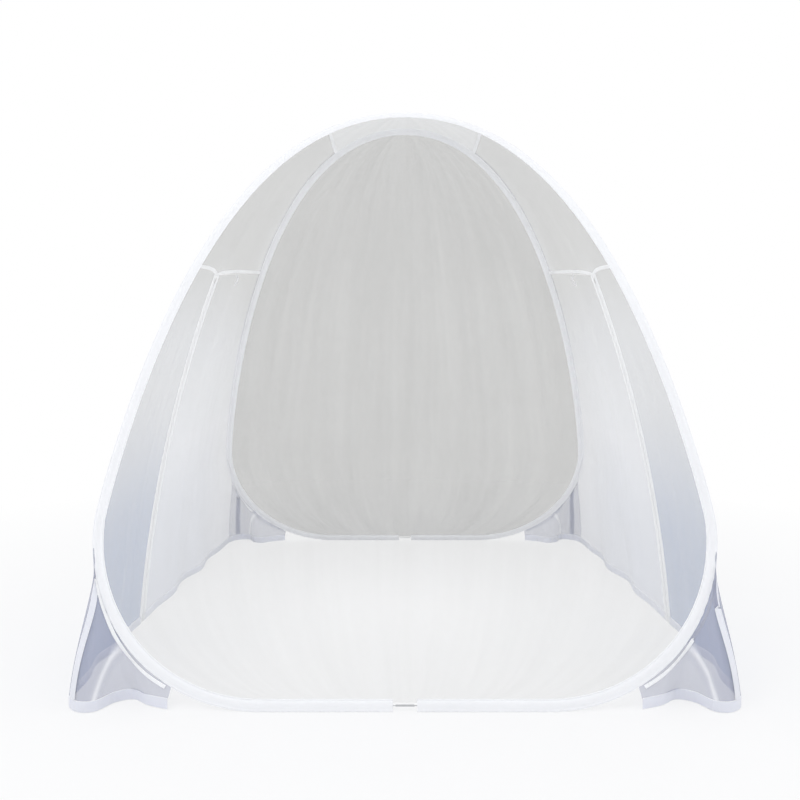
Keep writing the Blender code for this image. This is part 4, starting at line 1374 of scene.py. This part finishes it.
def make_roof():
    """Opaque strip between the tops of the hoops, drawn down a little in the middle."""
    def place(column, row):
        x = lerp(-ROOF_HALF_SPAN, ROOF_HALF_SPAN, column)
        z = edge_height(abs(x))
        reach = edge_reach(z) + NET_LAP
        y = lerp(-reach, reach, row)
        dip = ROOF_SAG * (1 - (x / ROOF_HALF_SPAN) ** 2) * (1 - (y / reach) ** 2)
        fade = arch(row) * min(1.0, 8 * column, 8 * (1 - column))
        wave = ROOF_RIPPLE * fade * ripple(x * 16, y * 5, 3)
        crimp = ROOF_CRIMP * (2 * row - 1) ** 4 * math.sin(x * 260 + 2 * math.sin(x * 37))
        return Vector((x, y, z - dip + wave + crimp * fade))

    width, length = 2 * ROOF_HALF_SPAN * ROOF_FULLNESS_SHARE, 2 * edge_reach(ROOF_END_Z)
    work = grid(220, 40, place, (width, length))
    piece = finish_piece(work, "roof", roof_finish())
    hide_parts("roof_panel")
    fold_roof(piece)
    declare_cloth(piece, width, length)


def fold_roof(piece):
    """Bakes a roof piece's transform into its mesh, with a place over each hoop worked out and left unused."""
    start, end = (0, ROOF_EDGE_Y, HINGE.z), (0, -ROOF_EDGE_Y, HINGE.z)
    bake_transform(piece)
    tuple(start)
    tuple(end)


def make_roof_seam(hand, side):
    """The tape along the seam of the roof and a side."""
    width = ROOF_SEAM_WIDTH
    reach = edge_reach(ROOF_END_Z)

    def place(column, row):
        across, out = band(column, width, ROOF_SEAM_THICKNESS)
        return side_point(side, lerp(-reach, reach, row), ROOF_END_Z + across * 0.5, out)

    material = tape_finish("roof_seam", width)
    fold_roof(strip(f"{hand}_roof_seam", material, place, 12, 60, (2 * width, 2 * reach)))


def dress_node(node, material):
    frame["nodes"][node].material_slots[0].material = material


class TENT_OT_sleeves(bpy.types.Operator):
    """Sews the cloth sleeves round both hoops"""
    bl_idname = "tent.sleeves"
    bl_label = "Hoop Sleeves"

    def execute(self, context):
        for word, end in ENDS:
            make_sleeve(word, end)
        return {"FINISHED"}


class TENT_OT_end_nets(bpy.types.Operator):
    """Stretches net across both hoops"""
    bl_idname = "tent.end_nets"
    bl_label = "End Nets"

    def execute(self, context):
        for word, end in ENDS:
            make_end_net(word, end)
        return {"FINISHED"}


class TENT_OT_roof(bpy.types.Operator):
    """Makes the roof strip and its seams"""
    bl_idname = "tent.roof"
    bl_label = "Roof"

    def execute(self, context):
        make_roof()
        for hand, side in SIDES:
            make_roof_seam(hand, side)
        return {"FINISHED"}


class TENT_OT_zips(bpy.types.Operator):
    """Makes the zip tapes, coils and bindings of both doors"""
    bl_idname = "tent.zips"
    bl_label = "Door Zips"

    def execute(self, context):
        for hand, side in SIDES:
            for word, end in ENDS:
                make_zip_tape(hand, side, word, end)
                make_binding(hand, side, word, end)
        return {"FINISHED"}


class TENT_OT_side_nets(bpy.types.Operator):
    """Hangs the door nets with their hems and the nets above them"""
    bl_idname = "tent.side_nets"
    bl_label = "Side Nets"

    def execute(self, context):
        for hand, side in SIDES:
            for word, end in ENDS:
                make_door_net(hand, side, word, end)
                make_side_hem(hand, side, word, end)
            make_upper_net(hand, side)
        return {"FINISHED"}


class TENT_OT_cross_tapes(bpy.types.Operator):
    """Sews the cross tapes over the doors and hangs their ties"""
    bl_idname = "tent.cross_tapes"
    bl_label = "Cross Tapes and Ties"

    def execute(self, context):
        for hand, side in SIDES:
            make_cross_tape(hand, side)
            make_tie(hand, side)
        return {"FINISHED"}


class TENT_OT_corner_skirts(bpy.types.Operator):
    """Hangs the four corner skirts with their hems and tapes"""
    bl_idname = "tent.corner_skirts"
    bl_label = "Corner Skirts"

    def execute(self, context):
        for word, end in ENDS:
            for hand, side in SIDES:
                make_corner_hem(hand, side, word, end)
                make_corner_skirt(hand, side, word, end)
                make_corner_tapes(hand, side, word, end)
        return {"FINISHED"}


class TENT_OT_metal(bpy.types.Operator):
    """Finishes the spring wires, ferrules, sliders, stops and pulls"""
    bl_idname = "tent.metal"
    bl_label = "Wire and Zip Metal"

    def execute(self, context):
        for word, _ in ENDS:
            for part in ("wire", "ferrule"):
                dress_node(f"{word}_hoop_{part}", finish("steel", paint_steel))
        for hand, _ in SIDES:
            for part in ("top_stop", "foot_stop", "slider", "pull"):
                dress_node(f"{hand}_zip_{part}", finish("enamel", paint_enamel))
        return {"FINISHED"}


def seen_directly(recipe):
    """1 for what the camera, a gloss or a clear surface sees, 0 for the light on the object."""
    camera, gloss, clear = (
        recipe.node("ShaderNodeLightPath", None, None, name)
        for name in ("Is Camera Ray", "Is Glossy Ray", "Is Transmission Ray"))
    return (camera + gloss + clear).clamped()


def paint_floor(recipe):
    """A pale floor that shows its shadow near the tent and turns white away from it."""
    grain = recipe.noise(recipe.place(), 3.0)
    colour = recipe.colour_mix(grain, tone(studio().floor_colour, 0.97), tone(studio().floor_colour))
    plain = recipe.node("ShaderNodeBsdfDiffuse", None, {"Color": colour})
    white = recipe.node("ShaderNodeEmission", None, {"Color": (1, 1, 1, 1), "Strength": 1.0})
    away = recipe.node("ShaderNodeVectorMath", {"operation": "LENGTH"}, {0: recipe.place()}, "Value")
    far = recipe.node("ShaderNodeMapRange", None, {
        "Value": away, "From Min": 1.0, "From Max": 3.2, "To Min": 0.62, "To Max": 1.0})
    recipe.feed(recipe.surface, recipe.shader_mix(seen_directly(recipe) * far, plain, white))


def make_floor():
    work = bmesh.new()
    bmesh.ops.create_circle(work, cap_ends=True, radius=studio().floor_radius, segments=96)
    mesh = bpy.data.meshes.new("floor")
    work.to_mesh(mesh)
    work.free()
    mesh.materials.append(finish("floor", paint_floor))
    floor = bpy.data.objects.new("floor", mesh)
    bpy.context.scene.collection.objects.link(floor)


def make_sky():
    """Even light from all round, and a white backdrop."""
    world = bpy.data.worlds.new("studio")
    bpy.context.scene.world = world
    recipe = Recipe(world, "ShaderNodeOutputWorld")
    soft, white = (
        recipe.node("ShaderNodeBackground", None, {"Color": colour, "Strength": strength})
        for colour, strength in (((0.97, 0.98, 1, 1), studio().sky_strength), ((1, 1, 1, 1), 1.0)))
    recipe.feed(recipe.surface, recipe.shader_mix(seen_directly(recipe), soft, white))


def add_lamp(name, power, place, size, aim=None):
    """A round lamp that faces its aim, or a glowing ball that lights all round."""
    lamp = bpy.data.lights.new(name, "AREA" if aim else "POINT")
    lamp.energy = power
    made = bpy.data.objects.new(name, lamp)
    made.location = place
    if aim:
        lamp.shape = "DISK"
        lamp.size = size
        made.rotation_euler = (Vector(aim) - Vector(place)).to_track_quat("-Z", "Y").to_euler()
    else:
        lamp.shadow_soft_size = size / 2
    made.visible_camera = False
    bpy.context.scene.collection.objects.link(made)


def make_camera():
    lens = bpy.data.cameras.new("camera")
    lens.lens = studio().focal_length
    lens.sensor_width = 36
    lens.shift_x = studio().shift_across
    lens.shift_y = studio().shift_up
    camera = bpy.data.objects.new("camera", lens)
    camera.location = (0, -studio().lens_distance, studio().lens_height)
    camera.rotation_euler = (math.pi / 2, 0, 0)
    bpy.context.scene.collection.objects.link(camera)
    bpy.context.scene.camera = camera


class TENT_OT_studio(bpy.types.Operator):
    """Sets up the floor, the light and the camera"""
    bl_idname = "tent.studio"
    bl_label = "Studio"

    def execute(self, context):
        make_floor()
        make_sky()
        add_lamp("key", studio().key_power, **KEY_LAMP)
        add_lamp("fill", studio().key_power * FILL_SHARE, **FILL_LAMP)
        add_lamp("inner", studio().inner_power, **INNER_LAMP)
        make_camera()
        context.scene.view_settings.view_transform = "Standard"
        return {"FINISHED"}


STEPS = (
    TENT_OT_studio, TENT_OT_sleeves, TENT_OT_end_nets, TENT_OT_roof, TENT_OT_zips,
    TENT_OT_side_nets, TENT_OT_cross_tapes, TENT_OT_corner_skirts, TENT_OT_metal,
)


class TENT_PT_panel(bpy.types.Panel):
    """Buttons for each step of dressing the tent, and its colours and sizes"""
    bl_idname = "TENT_PT_panel"
    bl_label = "Net Tent"
    bl_space_type = "VIEW_3D"
    bl_region_type = "UI"
    bl_category = "Net Tent"

    def draw(self, context):
        for step in STEPS:
            self.layout.operator(step.bl_idname)
        for group in (looks(), detail(), studio()):
            for name in group.__annotations__:
                self.layout.prop(group, name)


CLASSES = (TentLooks, TentDetail, TentStudio, *STEPS, TENT_PT_panel)


def register():
    for item in CLASSES:
        bpy.utils.register_class(item)
    bpy.types.Scene.tent_looks = PointerProperty(type=TentLooks)
    bpy.types.Scene.tent_detail = PointerProperty(type=TentDetail)
    bpy.types.Scene.tent_studio = PointerProperty(type=TentStudio)


def unregister():
    del bpy.types.Scene.tent_studio
    del bpy.types.Scene.tent_detail
    del bpy.types.Scene.tent_looks
    for item in reversed(CLASSES):
        bpy.utils.unregister_class(item)


def main():
    register()
    for step in STEPS:
        group, name = step.bl_idname.split(".")
        getattr(getattr(bpy.ops, group), name)()


if __name__ == "__main__":
    main()
